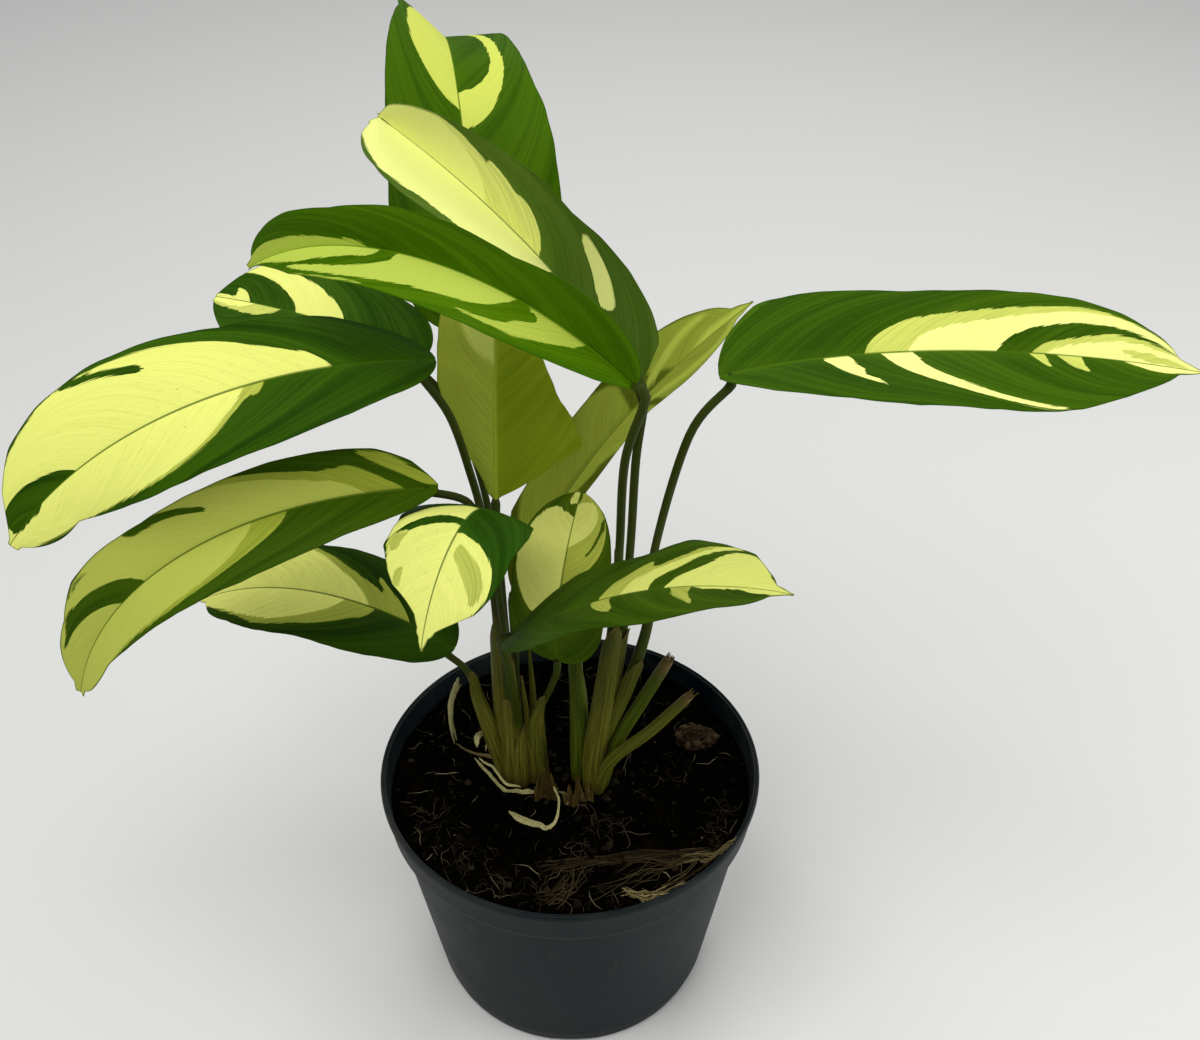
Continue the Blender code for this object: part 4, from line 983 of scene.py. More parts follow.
def build_clump(name, node, crown, stalks, extras, girth, material):
    """Stalks with their sheaths, whose dark bare part starts at the top of the sheath, and the stubs."""
    pile = Pile("rise", "turn", "tone", "dry")
    for stalk in stalks:
        route = stalk_route(stalk, crown)
        radii = stalk_radii(route, stalk.foot_radius, stalk.slender_radius)
        bare = 90 * clamped((route[:, 2] - stalk.sheath) / 12 + 0.7)
        add_tube(pile, route, radii, STALK_SIDES, rise=route[:, 2] + bare, tone=stalk.tone, dry=0.0)
        add_sheath(pile, stalk, route, radii, girth)
    for points, foot_radius, end_radius, tone, dry_end in extras:
        route = smooth_route([(*points[0][:2], STALK_FOOT), *points[1:]], STALK_STEP)
        radii = np.linspace(foot_radius, end_radius, len(route))
        left = norm(route - route[-1], axis=1)
        radii = radii * (1 - 0.12 * np.exp(-left / 3))
        dry = np.clip(1.3 - left / dry_end, 0, 0.95)
        add_tube(pile, route, radii, STALK_SIDES, rise=route[:, 2], tone=tone, dry=dry)
        if end_radius > 2:
            add_frayed_end(pile, route, radii[-1], tone)
    pile.piece(name, [material], [node], sharp=60)


# Pot
def body_radius(height):
    share = (height - FOOT_LINE_HEIGHT) / (COLLAR_BOTTOM - FOOT_LINE_HEIGHT)
    return FOOT_RADIUS + (BODY_TOP_RADIUS - FOOT_RADIUS) * share


def pot_profile():
    """From the middle of the floor up the inside, over the grooved lip, down the outside and under."""
    ring_inner = FOOT_RADIUS - FOOT_RING_WIDTH
    return [
        (0.0, FLOOR_TOP),
        (body_radius(FLOOR_TOP) - WALL - 2, FLOOR_TOP),
        (body_radius(FLOOR_TOP + 2) - WALL, FLOOR_TOP + 2),
        (BODY_TOP_RADIUS - WALL, COLLAR_BOTTOM - 1),
        (COLLAR_FOOT_RADIUS - WALL, COLLAR_BOTTOM + 2.5),
        (RIM_RADIUS - 2.7, POT_HEIGHT - 2.5),
        (RIM_RADIUS - 2.5, POT_HEIGHT - 0.6),
        (RIM_RADIUS - 2.0, POT_HEIGHT - 0.3),
        (RIM_RADIUS - 1.6, POT_HEIGHT - 0.8),
        (RIM_RADIUS - 1.3, POT_HEIGHT - 0.7),
        (RIM_RADIUS - 1.0, POT_HEIGHT),
        (RIM_RADIUS - 0.3, POT_HEIGHT - 0.2),
        (RIM_RADIUS, POT_HEIGHT - 1.2),
        (RIM_RADIUS, POT_HEIGHT - 3.2),
        (RIM_RADIUS - 0.8, POT_HEIGHT - 3.8),
        (COLLAR_FOOT_RADIUS + 0.25, COLLAR_BOTTOM + 1.6),
        (COLLAR_FOOT_RADIUS - 0.4, COLLAR_BOTTOM),
        (BODY_TOP_RADIUS + 0.2, COLLAR_BOTTOM - 0.4),
        (BODY_TOP_RADIUS - 0.3, COLLAR_BOTTOM - 2.0),
        (body_radius(CHAMFER_HEIGHT) + FLARE, CHAMFER_HEIGHT),
        (FOOT_RADIUS - 0.3, 2.2),
        (FOOT_RADIUS - 1.2, 0.0),
        (ring_inner, 0.0),
        (ring_inner - 0.5, FLOOR_UNDERSIDE),
        (CENTRE_PAD_RADIUS + 1.0, FLOOR_UNDERSIDE),
        (CENTRE_PAD_RADIUS, 0.0),
        (0.0, 0.0),
    ]


def filleted(profile, radius):
    """The open profile with each corner replaced by a small curve."""
    points = [np.array(point, float) for point in profile]
    made = [points[0]]
    for before, corner, after in zip(points, points[1:], points[2:]):
        back, ahead = before - corner, after - corner
        cut = min(radius, 0.4 * norm(back), 0.4 * norm(ahead))
        start = corner + back / norm(back) * cut
        end = corner + ahead / norm(ahead) * cut
        for t in (0.0, 0.33, 0.67, 1.0):
            made.append((1 - t) ** 2 * start + 2 * t * (1 - t) * corner + t**2 * end)
    return [*made, points[-1]]


def add_cutter(name, work, angle, radius, turn=0.0):
    """A solid that is cut from the pot, standing at an angle round its axis."""
    mesh = bpy.data.meshes.new(name)
    place = Vector((math.cos(angle), math.sin(angle), 0)) * radius * MM
    work.transform(Matrix.Translation(place) @ Matrix.Rotation(turn, 4, "Z"))
    work.to_mesh(mesh)
    work.free()
    return new_object(name, mesh)


def pot_cutters():
    cutters = []
    for i in range(DRAIN_HOLES):
        work = bmesh.new()
        bmesh.ops.create_cone(work, cap_ends=True, segments=40, radius1=DRAIN_HOLE_RADIUS * MM,
                              radius2=DRAIN_HOLE_RADIUS * MM, depth=20 * MM)
        angle = math.tau * (i + 0.5) / DRAIN_HOLES
        cutters.append(add_cutter(f"drain_cutter_{i}", work, angle, DRAIN_CIRCLE_RADIUS))
    size = Vector((FOOT_RING_WIDTH + 8, FOOT_NOTCH_WIDTH, 2 * FOOT_NOTCH_HEIGHT)) * MM
    for i in range(FOOT_NOTCHES):
        work = bmesh.new()
        bmesh.ops.create_cube(work, size=1.0, matrix=Matrix.Diagonal((*size, 1.0)))
        angle = math.tau * i / FOOT_NOTCHES - math.pi / 2
        ring_middle = FOOT_RADIUS - FOOT_RING_WIDTH / 2
        cutters.append(add_cutter(f"notch_cutter_{i}", work, angle, ring_middle, angle))
    return cutters


def pot_look():
    """Dark moulded plastic: a fine grain, dusty patches near the rim, and a few scuffs."""
    look = Look("pot_plastic_dark", specular=0.14)
    place = look.place()
    grain = look.noise(place, 2600.0, 2.0, 0.6)
    cloud = look.noise(place, 22.0, 4.0, 0.6)
    lengthwise = look.signal("VectorMath", place, (1.0, 1.0, 0.12), operation="MULTIPLY")
    scuff = look.noise(lengthwise, 160.0, 3.0, 0.7)
    colour = look.mix(look.stretch(cloud, 0.35, 0.7), (6, 17, 20), (11, 24, 28))
    colour = look.mix(look.stretch(scuff, 0.66, 0.74, 0.0, 0.3), colour, (64, 66, 61))
    height = look.signal("SeparateXYZ", place, out="Z")
    dust = look.stretch(height, 0.1, 0.119, 0.12, 0.5) * look.stretch(cloud, 0.4, 0.65)
    colour = look.mix(dust, colour, (58, 58, 52))
    look.bump(grain + scuff * 0.5, 0.25, 0.12)
    return look.finish(colour, look.stretch(cloud, 0.3, 0.7, 0.46, 0.62))


def build_pot():
    """The turned profile with its holes and notches cut out, kept as one plain mesh."""
    mesh = bpy.data.meshes.new("pot_profile")
    profile = filleted(pot_profile(), POT_FILLET)
    edges = [(i, i + 1) for i in range(len(profile) - 1)]
    mesh.from_pydata([(radius * MM, 0.0, height * MM) for radius, height in profile], edges, [])
    turned = new_object("pot_turned", mesh)
    screw = turned.modifiers.new("Screw", "SCREW")
    screw.steps = screw.render_steps = POT_SEGMENTS
    screw.use_merge_vertices = True
    screw.merge_threshold = 0.00001
    cutters = pot_cutters()
    for cutter in cutters:
        difference = turned.modifiers.new(cutter.name, "BOOLEAN")
        difference.operation = "DIFFERENCE"
        difference.object = cutter
        difference.solver = "EXACT"
    solid = bpy.data.meshes.new_from_object(turned.evaluated_get(bpy.context.evaluated_depsgraph_get()))
    solid.name = "pot_moulded"
    solid.materials.append(pot_look())
    solid.shade_smooth()
    solid.set_sharp_from_angle(angle=math.radians(38))
    for obj in [turned, *cutters]:
        bpy.data.objects.remove(obj)
    pot = new_object("pot_moulded", solid)
    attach(pot, "root")
    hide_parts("pot")


# Potting mix
def soil_noise(x, y, layer, size):
    """Smooth noise over the mix, from -1 to 1, whose lumps have this size."""
    return noise.noise(Vector((x, y, layer)) / size)


def soil_height(x, y):
    """Height of the crumbly surface: the CAD's lumps with finer crumbs on them."""
    coarse = soil_noise(x, y, 0.0, SOIL_LUMP_SIZE) + 0.4 * soil_noise(x, y, 50.0, 0.45 * SOIL_LUMP_SIZE)
    fine = 0.8 * soil_noise(x, y, 9.0, 4.2) + 0.55 * abs(soil_noise(x, y, 4.0, 1.9))
    height = SOIL_TOP + SOIL_RELIEF * coarse + fine
    for cx, cy, radius in CROWNS:
        apart = math.hypot(x - cx, y - cy)
        height += 1.6 * math.exp(-((apart / (1.1 * radius)) ** 4))
    return height + 0.4 * soil_noise(x, y, 2.0, 0.9)


def build_soil():
    pile = Pile("shade")
    radii = SOIL_EDGE * np.linspace(0, 1, SOIL_ROWS + 1)[1:]
    turns = np.linspace(0, math.tau, SOIL_COLUMNS, endpoint=False)
    grid = np.array([[(r * math.cos(t), r * math.sin(t), 0.0) for t in turns] for r in radii])
    grid[..., 2] = [[soil_height(x, y) for x, y, _ in row] for row in grid]
    rim_lift = clamped((radii - 76) / 5)[:, None]
    grid[..., 2] += 1.2 * rim_lift * [soil_noise(math.cos(t), math.sin(t), 3.0, 0.25) for t in turns]
    side = np.array([[(r * math.cos(t), r * math.sin(t), z) for t in turns] for r, z in SOIL_SIDE])
    middles = [(0, 0, soil_height(0, 0)), (0, 0, SOIL_SIDE[-1][1])]
    points = np.concatenate([grid.reshape(-1, 3), side.reshape(-1, 3), middles])
    rows = SOIL_ROWS + len(SOIL_SIDE)
    total = rows * SOIL_COLUMNS
    lid = fan(0, SOIL_COLUMNS, total)
    base = fan(total - SOIL_COLUMNS, SOIL_COLUMNS, total + 1, flip=True)
    pile.add(points, [grid_faces(rows, SOIL_COLUMNS, wrap=True, flip=True), lid, base])
    pile.piece("potting_mix_crumbly", [soil_look()], ["potting_mix"])


def soil_look():
    """Near-black damp peat with brown bits."""
    look = Look("peat", specular=0.0)
    place = look.place()
    crumbs = look.noise(place, 420.0, 4.0, 0.7)
    patches = look.noise(place, 70.0, 3.0, 0.6)
    colour = look.mix(look.stretch(crumbs, 0.42, 0.7), (2, 2, 1), (9, 7, 5))
    colour = look.mix(look.stretch(patches, 0.6, 0.74, 0.0, 0.5), colour, (20, 14, 9))
    grit, pick = look.cells(place, 330.0)
    grit = look.stretch(grit, 0.08, 0.12, 0.6, 0.0) * look.stretch(pick, 0.7, 0.75)
    colour = look.mix(grit, colour, (70, 60, 46))
    look.bump(crumbs, 0.9, 0.8)
    return look.finish(colour, look.stretch(crumbs, 0.3, 0.7, 0.75, 0.98))


def litter_look(name, dark, light, roughness=0.85):
    """Dry plant matter whose shade is set piece by piece, with fine streaks."""
    look = Look(name, roughness, 0.02)
    streaks = look.noise(look.place(), 900.0, 3.0, 0.6)
    shade = look.attribute("shade") * ((streaks - 0.5) * 1.6 + 1.0)
    look.bump(streaks, 0.6, 0.3)
    return look.finish(look.mix(look.stretch(shade, 0.0, 1.0), dark, light))


def lump(radius, seed, detail=1, flat=0.7, rough=0.8):
    """A small angular crumb: points and faces round the origin."""
    work = bmesh.new()
    bmesh.ops.create_icosphere(work, subdivisions=detail, radius=1.0)
    stretch = Vector((1.0, 0.65 + 0.35 * (seed % 1.0), flat))
    points = []
    for vertex in work.verts:
        bump = 1 + rough * noise.noise(vertex.co * 1.9 + Vector((seed, 0, 0)))
        points.append(tuple(Vector(vertex.co * stretch) * bump * radius))
    faces = [[vertex.index for vertex in face.verts] for face in work.faces]
    work.free()
    return np.array(points), np.array(faces)


def over_crowns(x, y):
    return any(math.hypot(x - cx, y - cy) < radius + 1 for cx, cy, radius in CROWNS)


def any_turn():
    return math.tau * chance.random()


def strew_crumbs(pile, templates):
    """Loose crumbs all over the mix, a few of them pale."""
    for i in range(LOOSE_CRUMBS):
        radius = CRUMB_REACH * math.sqrt(chance.random())
        turn = any_turn()
        x, y = radius * math.cos(turn), radius * math.sin(turn)
        size = 0.4 + 1.9 * chance.random() ** 4
        spin = any_turn()
        draw = chance.random()
        if over_crowns(x, y) or radius + size > CRUMB_REACH + 0.5:
            continue
        pale = draw > 0.975
        size = min(size, 0.5) if pale else size
        points, faces = templates[i % len(templates)]
        c, s = math.cos(spin), math.sin(spin)
        turned = points @ np.array([[c, s, 0], [-s, c, 0], [0, 0, 1]])
        shade = 0.7 if pale else (0.12 if draw > 0.92 else 0.05 * draw)
        pile.add(turned * size + (x, y, soil_height(x, y) + 0.25 * size), [faces], shade=shade)


def bank_crumbs(pile, templates):
    """Crumbs banked up round each crown."""
    for cx, cy, radius in CROWNS:
        for i in range(CROWN_CRUMBS):
            turn = any_turn()
            size = 0.7 + 1.3 * chance.random()
            reach = radius + 0.5 + 1.8 * chance.normal() ** 2
            x, y = cx + reach * math.cos(turn), cy + reach * math.sin(turn)
            points, faces = templates[i % len(templates)]
            place = (x, y, soil_height(x, y) + 0.35 * size)
            pile.add(points * size + place, [faces], shade=0.12 * chance.random() ** 2)


def build_crumbs():
    pile = Pile("shade")
    templates = [lump(1.0, 1.37 * i) for i in range(12)]
    strew_crumbs(pile, templates)
    bank_crumbs(pile, templates)
    look = litter_look("peat_crumbs", (3, 2, 2), (112, 98, 74), 0.95)
    pile.piece("peat_crumb_litter", [look], sharp=30)


def ground(x, y):
    """What loose litter lies on: the mix, then the slope up to the lip of the pot."""
    climb = min(1.0, max(0.0, (math.hypot(x, y) - 76.5) / 5.5))
    mix = soil_height(x, y)
    return mix + (POT_HEIGHT + 0.3 - mix) * climb**1.4


def lay_fibre(pile, points, radius, shade, sides=4, lift=0.0):
    """A thin root or straw along points on the surface, thinner at both ends and kept within the lip."""
    inward = [min(1.0, LITTER_REACH / math.hypot(x, y)) for x, y in points]
    route = smooth_route([(x * pull, y * pull, 0.0) for (x, y), pull in zip(points, inward)], 2.0)
    share = np.linspace(0, 1, len(route))
    for place, along in zip(route, share):
        place[2] = ground(place[0], place[1]) + 0.8 * radius + lift * math.sin(math.pi * along)
    route[1:-1, 2] = np.convolve(route[:, 2], np.array([0.25, 0.5, 0.25]), "valid") + 0.15
    radii = radius * clamped(np.minimum(share, 1 - share) * 8 + 0.35)
    add_tube(pile, route, radii, sides, shade=shade)


def wandering(start, heading, length, bend):
    """A wavering path of points on the surface, in steps of 3 mm."""
    x, y = start
    points = [(x, y)]
    for _ in range(max(2, round(length / 3))):
        heading += bend * chance.normal()
        x, y = x + 3 * math.cos(heading), y + 3 * math.sin(heading)
        if math.hypot(x, y) > CRUMB_REACH:
            break
        points.append((x, y))
    return points


# Patches of fine brown fibre: x, y, spread, count
FIBRE_PATCHES = (
    (16, -25, 5, 34), (66, -36, 4.5, 30), (70, -18, 4, 22), (-42, -46, 6, 26), (-62, -24, 5, 18),
    (-8, -60, 6, 30), (10, -40, 6, 20), (44, 2, 5, 14), (30, -72, 6, 22), (-30, -62, 5, 16),
)


def strew_fibres(pile):
    """Fine roots and bits all over the mix, most of them near the rim."""
    for _ in range(LOOSE_FIBRES):
        radius = FIBRE_REACH * math.sqrt(chance.random())
        turn = any_turn()
        length = 4 + 12 * chance.random() ** 2
        path = wandering((radius * math.cos(turn), radius * math.sin(turn)), any_turn(), length, 0.45)
        thick, draw = 0.09 + 0.13 * chance.random(), chance.random()
        shade = 0.75 if draw > 0.93 else 0.4 * draw
        sparse = radius < SPARSE_WITHIN and chance.random() < 0.45
        if len(path) > 2 and not sparse and not any(over_crowns(x, y) for x, y in path):
            lay_fibre(pile, path, thick, shade, lift=1.4 * chance.random() ** 2)


def lay_patches(pile):
    """Tangles of short brown fibre at the front and on the right."""
    for cx, cy, spread, count in FIBRE_PATCHES:
        for _ in range(count):
            x, y = cx + spread * chance.normal(), cy + 0.8 * spread * chance.normal()
            path = wandering((x, y), any_turn(), 5 + 6 * chance.random(), 0.9)
            if len(path) > 2 and math.hypot(x, y) < FIBRE_REACH:
                thick = 0.08 + 0.1 * chance.random()
                shade = 0.02 + 0.13 * chance.random() ** 2
                lay_fibre(pile, path, thick, shade, lift=chance.random())


def build_fibres():
    pile = Pile("shade")
    strew_fibres(pile)
    lay_patches(pile)
    look = litter_look("fine_fibres", (36, 27, 18), (158, 146, 112))
    pile.piece("fine_fibre_litter", [look])


# Tufts of roots: middle of the start and of the end, scatter at both, bow, count, thickness, shades, lift
Tuft = namedtuple("Tuft", "start end scatter bow count thick shades lift")
ROOT_TUFTS = (
    Tuft((-12, -51), (61, -44), (1.6, 2.2), 2, 32, 0.26, (0, 0.06), 0.8),
    Tuft((-8, -51), (64, -45), (1.2, 2.8), 2, 7, 0.2, (0.06, 0.2), 1.2),
    Tuft((20, -56), (62, -42), (3.6, 2.6), 2, 11, 0.18, (0, 0.22), 1),
    Tuft((47, -44), (69, -51), (1.8, 4.2), 1, 13, 0.2, (0.2, 0.6), 1.6),
    Tuft((4, -50), (-7, -67), (3, 4.4), 3, 20, 0.16, (0.02, 0.2), 1.4),
    Tuft((23, -63), (42, -67), (1.6, 4.2), -2, 14, 0.24, (0.4, 0.85), 2.2),
    Tuft((8, -66), (41, -48), (3.2, 3.2), -3, 7, 0.16, (0.02, 0.24), 0.6),
    Tuft((34, -66), (62, -44), (3, 3), -2, 6, 0.16, (0.05, 0.3), 0.6),
)


def bowed(start, end, bow):
    """A path of seven points from start to end, bent sideways by the bow and a little unevenly."""
    across = Vector((start[1] - end[1], end[0] - start[0])).normalized()
    path = []
    for share in np.linspace(0, 1, 7):
        lean = bow * math.sin(math.pi * share) + 0.6 * chance.normal()
        path.append((start[0] + (end[0] - start[0]) * share + across.x * lean,
                     start[1] + (end[1] - start[1]) * share + across.y * lean))
    return path


def build_roots():
    pile = Pile("shade")
    for tuft in ROOT_TUFTS:
        for _ in range(tuft.count):
            shift = np.clip(chance.normal(0, 1, 4), -1.8, 1.8)
            skip = 0.6 * chance.random() ** 2.5
            ends = zip(tuft.start, tuft.end, shift)
            first = [a + (b - a) * skip + tuft.scatter[0] * c for a, b, c in ends]
            last = [b + tuft.scatter[1] * c for b, c in zip(tuft.end, shift[2:])]
            thick = tuft.thick * (0.6 + 0.8 * chance.random())
            shade = tuft.shades[0] + (tuft.shades[1] - tuft.shades[0]) * chance.random()
            lay_fibre(pile, bowed(first, last, tuft.bow), thick, shade, 5, tuft.lift * chance.random())
    look = litter_look("root_bark", (24, 17, 10), (158, 140, 94))
    pile.piece("root_mat_fibrous", [look], ["root_mat"])


# Dry strips of leaf: strands of knots (x, y, height over the mix, width, tilt in quarter turns) and a shade
DRY_STRIPS = {
    "dry_strip_standing": (
        (((-33, 10, 1, 1.8, 0), (-38, 12, 2, 2.6, 0.1), (-46, 13, 3, 2.4, 0.3),
          (-53, 15, 8, 1.6, 0.5)), 0.12),
        (((-53.5, 15, 8, 1.6, 0.5), (-55, 16, 18, 2.6, 0.7), (-54.5, 18, 30, 3, 0.9),
          (-50, 20, 45, 2.2, 1.2)), 0.8),
        (((-52.5, 15.5, 9, 1, 0.2), (-54, 17, 20, 1.6, 0.4), (-53, 19, 33, 1.6, 0.5),
          (-49, 20, 41, 1, 0.6)), 0.55),
    ),
    "dry_strip_looped": (
        (((-44, 9, 4, 1.2, 0.2), (-39, 4, 2, 1.4, 0.1), (-33.5, -3.5, 1.6, 1.6, 0),
          (-28.5, -9, 2, 1.8, 0), (-23, -10.5, 2.5, 2.2, 0.1), (-18.5, -10, 2.5, 2.6, 0.1),
          (-14, -9.5, 2, 1.8, 0)), 0.72),
        (((-42, 8.5, 5, 0.9, 0.4), (-35, 2.5, 4.2, 1.1, 0.3), (-29, -6.5, 4.4, 1.2, 0.3),
          (-22, -9.6, 4.6, 1, 0.3)), 0.85),
        (((-43.5, 17, 2.5, 2.2, 0.2), (-44, 22, 4.5, 3, 0.5), (-40.5, 25, 5, 3, 0.9),
          (-38.5, 21.5, 3, 2.6, 1.3), (-39.5, 17, 1.2, 1.6, 1.5)), 0.78),
    ),
    "dry_strip_curled": (
        (((-12.5, -9.5, 8, 0.9, 0.3), (-8, -8.7, 8, 1, 0.2), (-6.9, -11.5, 6, 1.1, 0.1),
          (-5.2, -14.7, 4, 1.1, 0), (-5.1, -19.5, 3, 1.2, 0), (-5.9, -25.5, 1.6, 1.3, 0),
          (-7.7, -28.6, 1.1, 1.6, 0.1), (-10.1, -29.8, 0.8, 2, 0.2), (-14.5, -27.5, 0.8, 2.6, 0.2),
          (-18.9, -25.2, 0.8, 3, 0.1), (-23.4, -22.5, 1, 3, 0), (-27, -19.5, 1.3, 2, 0)), 0.78),
        (((-5.7, -8.5, 2, 1, 0), (-1.9, -10.5, 1.7, 1.2, 0), (-0.6, -12.5, 1.2, 1.2, 0),
          (-1.4, -16, 0.8, 0.8, 0)), 0.3),
    ),
}


def add_strip(pile, knots, shade):
    """A crinkled strip along its knots, narrower at both ends."""
    route = smooth_route(knots, 1.2)
    places = route[:, :3].copy()
    places[:, 2] += [soil_height(x, y) + 0.3 for x, y in places[:, :2]]
    level, upright = ring_frames(places, (0.0, 0.0, 1.0))
    tilt = route[:, 4:5] * math.pi / 2
    side = level * np.cos(tilt) + upright * np.sin(tilt)
    ahead = np.gradient(places, axis=0)
    up = np.cross(side, ahead / norm(ahead, axis=1)[:, None])[:, None]
    share = np.linspace(0, 1, len(route))
    half = (route[:, 3] / 2 * clamped(np.minimum(share, 1 - share) * 7 + 0.3))[:, None]
    shares = np.linspace(-1, 1, 7)
    crinkle = 0.3 * waver(share * 0.4 * len(route), shade)[:, None] * shares**3
    rise = half * (0.4 * shares**2 + crinkle)
    middle = places[:, None] + (half * shares)[..., None] * side[:, None] + rise[..., None] * up
    shades = shade + 0.12 * waver(share * len(route) * 0.25, 4.0 + shade)[:, None] + 0.06 * shares
    add_shell(pile, middle + STRIP_THICKNESS / 2 * up, middle - STRIP_THICKNESS / 2 * up, shade=shades)


def build_dry_strips():
    look = litter_look("dry_leaf_strip", (62, 48, 22), (186, 180, 124))
    for node, strands in DRY_STRIPS.items():
        pile = Pile("shade")
        for knots, shade in strands:
            add_strip(pile, knots, shade)
        pile.piece(node + "_crinkled", [look], [node])


# Bracts: slivers of foot (x, y), direction, pitch at both ends, length and width
BRACTS = {
    "bract_left": (
        (-11, -11.5, 100, 80, 88, 22, 5.5), (-13, -11, 118, 76, 90, 17, 4.5),
        (-8.6, -11.4, 76, 78, 96, 18, 4.6), (-10, -12.4, 100, 66, 80, 12, 5),
        (-13.6, -12.4, 130, 60, 84, 10, 4), (-7.6, -12.6, 60, 62, 90, 11, 4),
        (-9.6, -11.2, 92, 84, 80, 26, 2.2), (-11.8, -11.2, 104, 84, 96, 24, 1.8),
    ),
    "bract_right": (
        (4, -15.8, 92, 62, 80, 17, 5.2), (1.2, -15.4, 110, 56, 82, 13, 4.6),
        (6.8, -15.6, 74, 58, 84, 13, 4.6), (3, -17, 96, 50, 70, 10, 4.8),
        (5.4, -17.2, 84, 48, 72, 9, 4.4), (-0.4, -15.2, 128, 50, 80, 9, 3.6),
        (3.4, -15.6, 96, 66, 90, 20, 2), (8.4, -15.4, 64, 50, 76, 9, 3.6),
    ),
}


def add_sliver(pile, form, seed):
    """A torn papery sliver, wide at its foot and cupped towards the stalks behind it."""
    x, y, azimuth, *pitch, length, width = form
    foot = (x, y, soil_height(x, y) - 1.2)
    blade = Blade(foot, azimuth, 0, pitch, 1.0, length, width, (0, 0), 0, 0.4, 0, 0)
    shares = np.linspace(-1, 1, 9)
    stations = np.linspace(0, 1, 22)
    torn = np.array([0.9 + 0.3 * noise.noise(Vector((s * 3.1, seed, 0))) for s in shares]) - 0.3 * shares**2
    reach = clamped(stations[:, None] * torn)
    tables = blade_frames(blade, reach.ravel())
    places, _, right, up = (table.reshape(len(stations), len(shares), 3) for table in tables)
    half = blade.width / 2 * (1 - 0.75 * reach**0.8) * (1 + 0.25 * waver(stations * 6, seed)[:, None])
    folds = np.array([0.6 * noise.noise(Vector((s * 2.2, seed + 5, 0))) for s in shares])
    rise = -blade.cup * half * shares**2 + folds * reach
    middle = places + (half * shares)[..., None] * right + rise[..., None] * up
    shade = 0.08 + 0.5 * reach**3 + 0.3 * np.abs(shares) ** 4
    add_shell(pile, middle + SLIVER_THICKNESS / 2 * up, middle - SLIVER_THICKNESS / 2 * up, shade=shade)


def build_bract(node, seed):
    pile = Pile("shade")
    for order, form in enumerate(BRACTS[node]):
        add_sliver(pile, form, seed + 1.9 * order)
    look = litter_look(node + "_papery", (44, 33, 12), (128, 110, 58))
    pile.piece(node + "_torn", [look], [node])


def wound_root(seat):
    """The path of one fine root part of the way round the clod, looser towards its end."""
    turn = Matrix.Rotation(1.1 * (chance.random() - 0.5), 3, "X")
    turn = turn @ Matrix.Rotation(0.9 * (chance.random() - 0.5), 3, "Y")
    start, span = any_turn(), 0.7 + 2.6 * chance.random()
    height = 1.5 * (chance.random() - 0.42)
    wide = math.sqrt(max(0.1, 1 - min(1.0, height**2)))
    route = []
    for step in np.linspace(0, 1, 14):
        angle = start + span * step
        spot = turn @ Vector((math.cos(angle) * wide, math.sin(angle) * wide, height))
        loose = 0.98 + 0.16 * noise.noise(spot * 2.5) + 0.2 * step**3 * chance.random()
        route.append(np.array(spot) * CLOD_SIZE * loose + seat)
    return smooth_route(route, 1.5)


def build_clod():
    """A clod of peat with fine roots wound round it."""
    pile = Pile("shade")
    seat = np.array([*CLOD_CENTRE, soil_height(*CLOD_CENTRE) + 2.0])
    points, faces = lump(1.0, 4.7, 3, 1.0, 0.45)
    pile.add(points * CLOD_SIZE * 0.9 + seat, [faces], shade=0.05)
    for i in range(CLOD_CRUMBS):
        bearing, size = any_turn(), 0.8 + 1.3 * chance.random()
        points, faces = lump(size, 2.3 * i, 1, 0.8)
        spot = np.array([math.cos(bearing), math.sin(bearing), 0.2 + 0.5 * chance.random()])
        spot = spot * (0.75 + 0.3 * chance.random())
        pile.add(points + spot * CLOD_SIZE + seat, [faces], shade=0.25 * chance.random())
    for _ in range(CLOD_ROOTS):
        route = wound_root(seat)
        thin = np.clip(1.2 - np.linspace(0, 1, len(route)), 0.3, 1)
        radii = (0.12 + 0.16 * chance.random()) * thin
        add_tube(pile, route, radii, 5, shade=0.04 + 0.6 * chance.random() ** 3)
    look = litter_look("peat_clod_fibrous", (26, 19, 12), (132, 110, 78))
    pile.piece("fibre_clod_wound", [look], ["fibre_clod"])


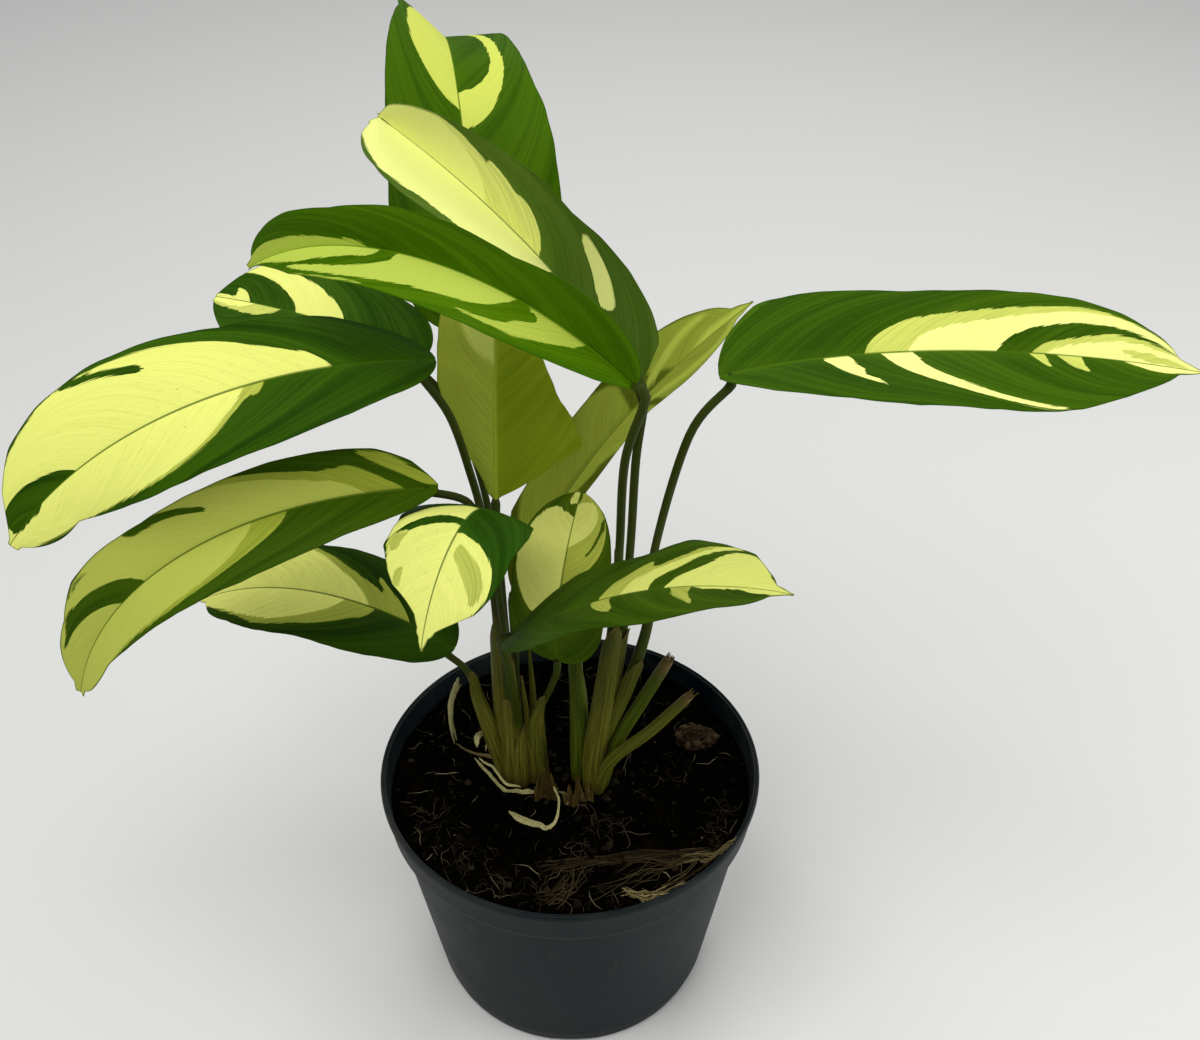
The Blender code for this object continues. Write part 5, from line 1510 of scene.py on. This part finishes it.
# Stage: floor, light and camera
def add_light(name, place, target, size, power):
    lamp = bpy.data.lights.new(name, "AREA")
    lamp.size = size
    lamp.energy = power
    obj = new_object(name, lamp)
    obj.location = place
    obj.rotation_euler = (Vector(target) - Vector(place)).to_track_quat("-Z", "Y").to_euler()


def add_floor():
    mesh = bpy.data.meshes.new("floor")
    corners = [(-1, -1), (1, -1), (1, 1), (-1, 1)]
    mesh.from_pydata([(x * FLOOR_REACH, y * FLOOR_REACH, 0) for x, y in corners], [], [(0, 1, 2, 3)])
    floor = new_object("floor", mesh)
    look = Look("floor_pale", 0.7, 0.2)
    floor.data.materials.append(look.finish(srgb((226, 226, 222))))


def set_stage():
    add_floor()
    add_light("key", (-0.38, -0.47, 1.5), (0, 0, 0.2), 0.9, 13)
    add_light("fill", (1.2, -0.15, 0.5), (0, 0, 0.15), 1.0, 7)
    add_light("back", (0.2, 1.1, 1.4), (0, 0, 0.25), 0.9, 7)
    world = bpy.data.worlds.new("studio")
    world.use_nodes = True
    backdrop = world.node_tree.nodes["Background"]
    backdrop.inputs["Color"].default_value = (0.95, 0.97, 1.0, 1.0)
    backdrop.inputs["Strength"].default_value = 0.38
    bpy.context.scene.world = world
    camera = bpy.data.cameras.new("camera")
    camera.lens = 45.0
    camera.sensor_width = 36.0
    camera.clip_start = 0.01
    obj = new_object("camera", camera)
    obj.location = (0.0134, -0.4683, 0.6191)
    obj.rotation_euler = (math.radians(52.4), 0.0, 0.0)
    bpy.context.scene.camera = obj
    bpy.context.scene.view_settings.view_transform = "Standard"


for number, (leaf, form) in enumerate(BLADES.items()):
    build_blade(leaf, form, 3.0 + 1.7 * number)
stalk_material = stalk_look()
build_clump("stalks_left_sheathed", "stalks_left", LEFT_CROWN, LEFT_STALKS, SHEATHS, 1.45, stalk_material)
build_clump("stalks_right_sheathed", "stalks_right", RIGHT_CROWN, RIGHT_STALKS, STUBS, 1.1, stalk_material)
build_pot()
build_soil()
build_crumbs()
build_fibres()
build_roots()
build_dry_strips()
build_bract("bract_left", 2.0)
build_bract("bract_right", 5.0)
build_clod()
set_stage()
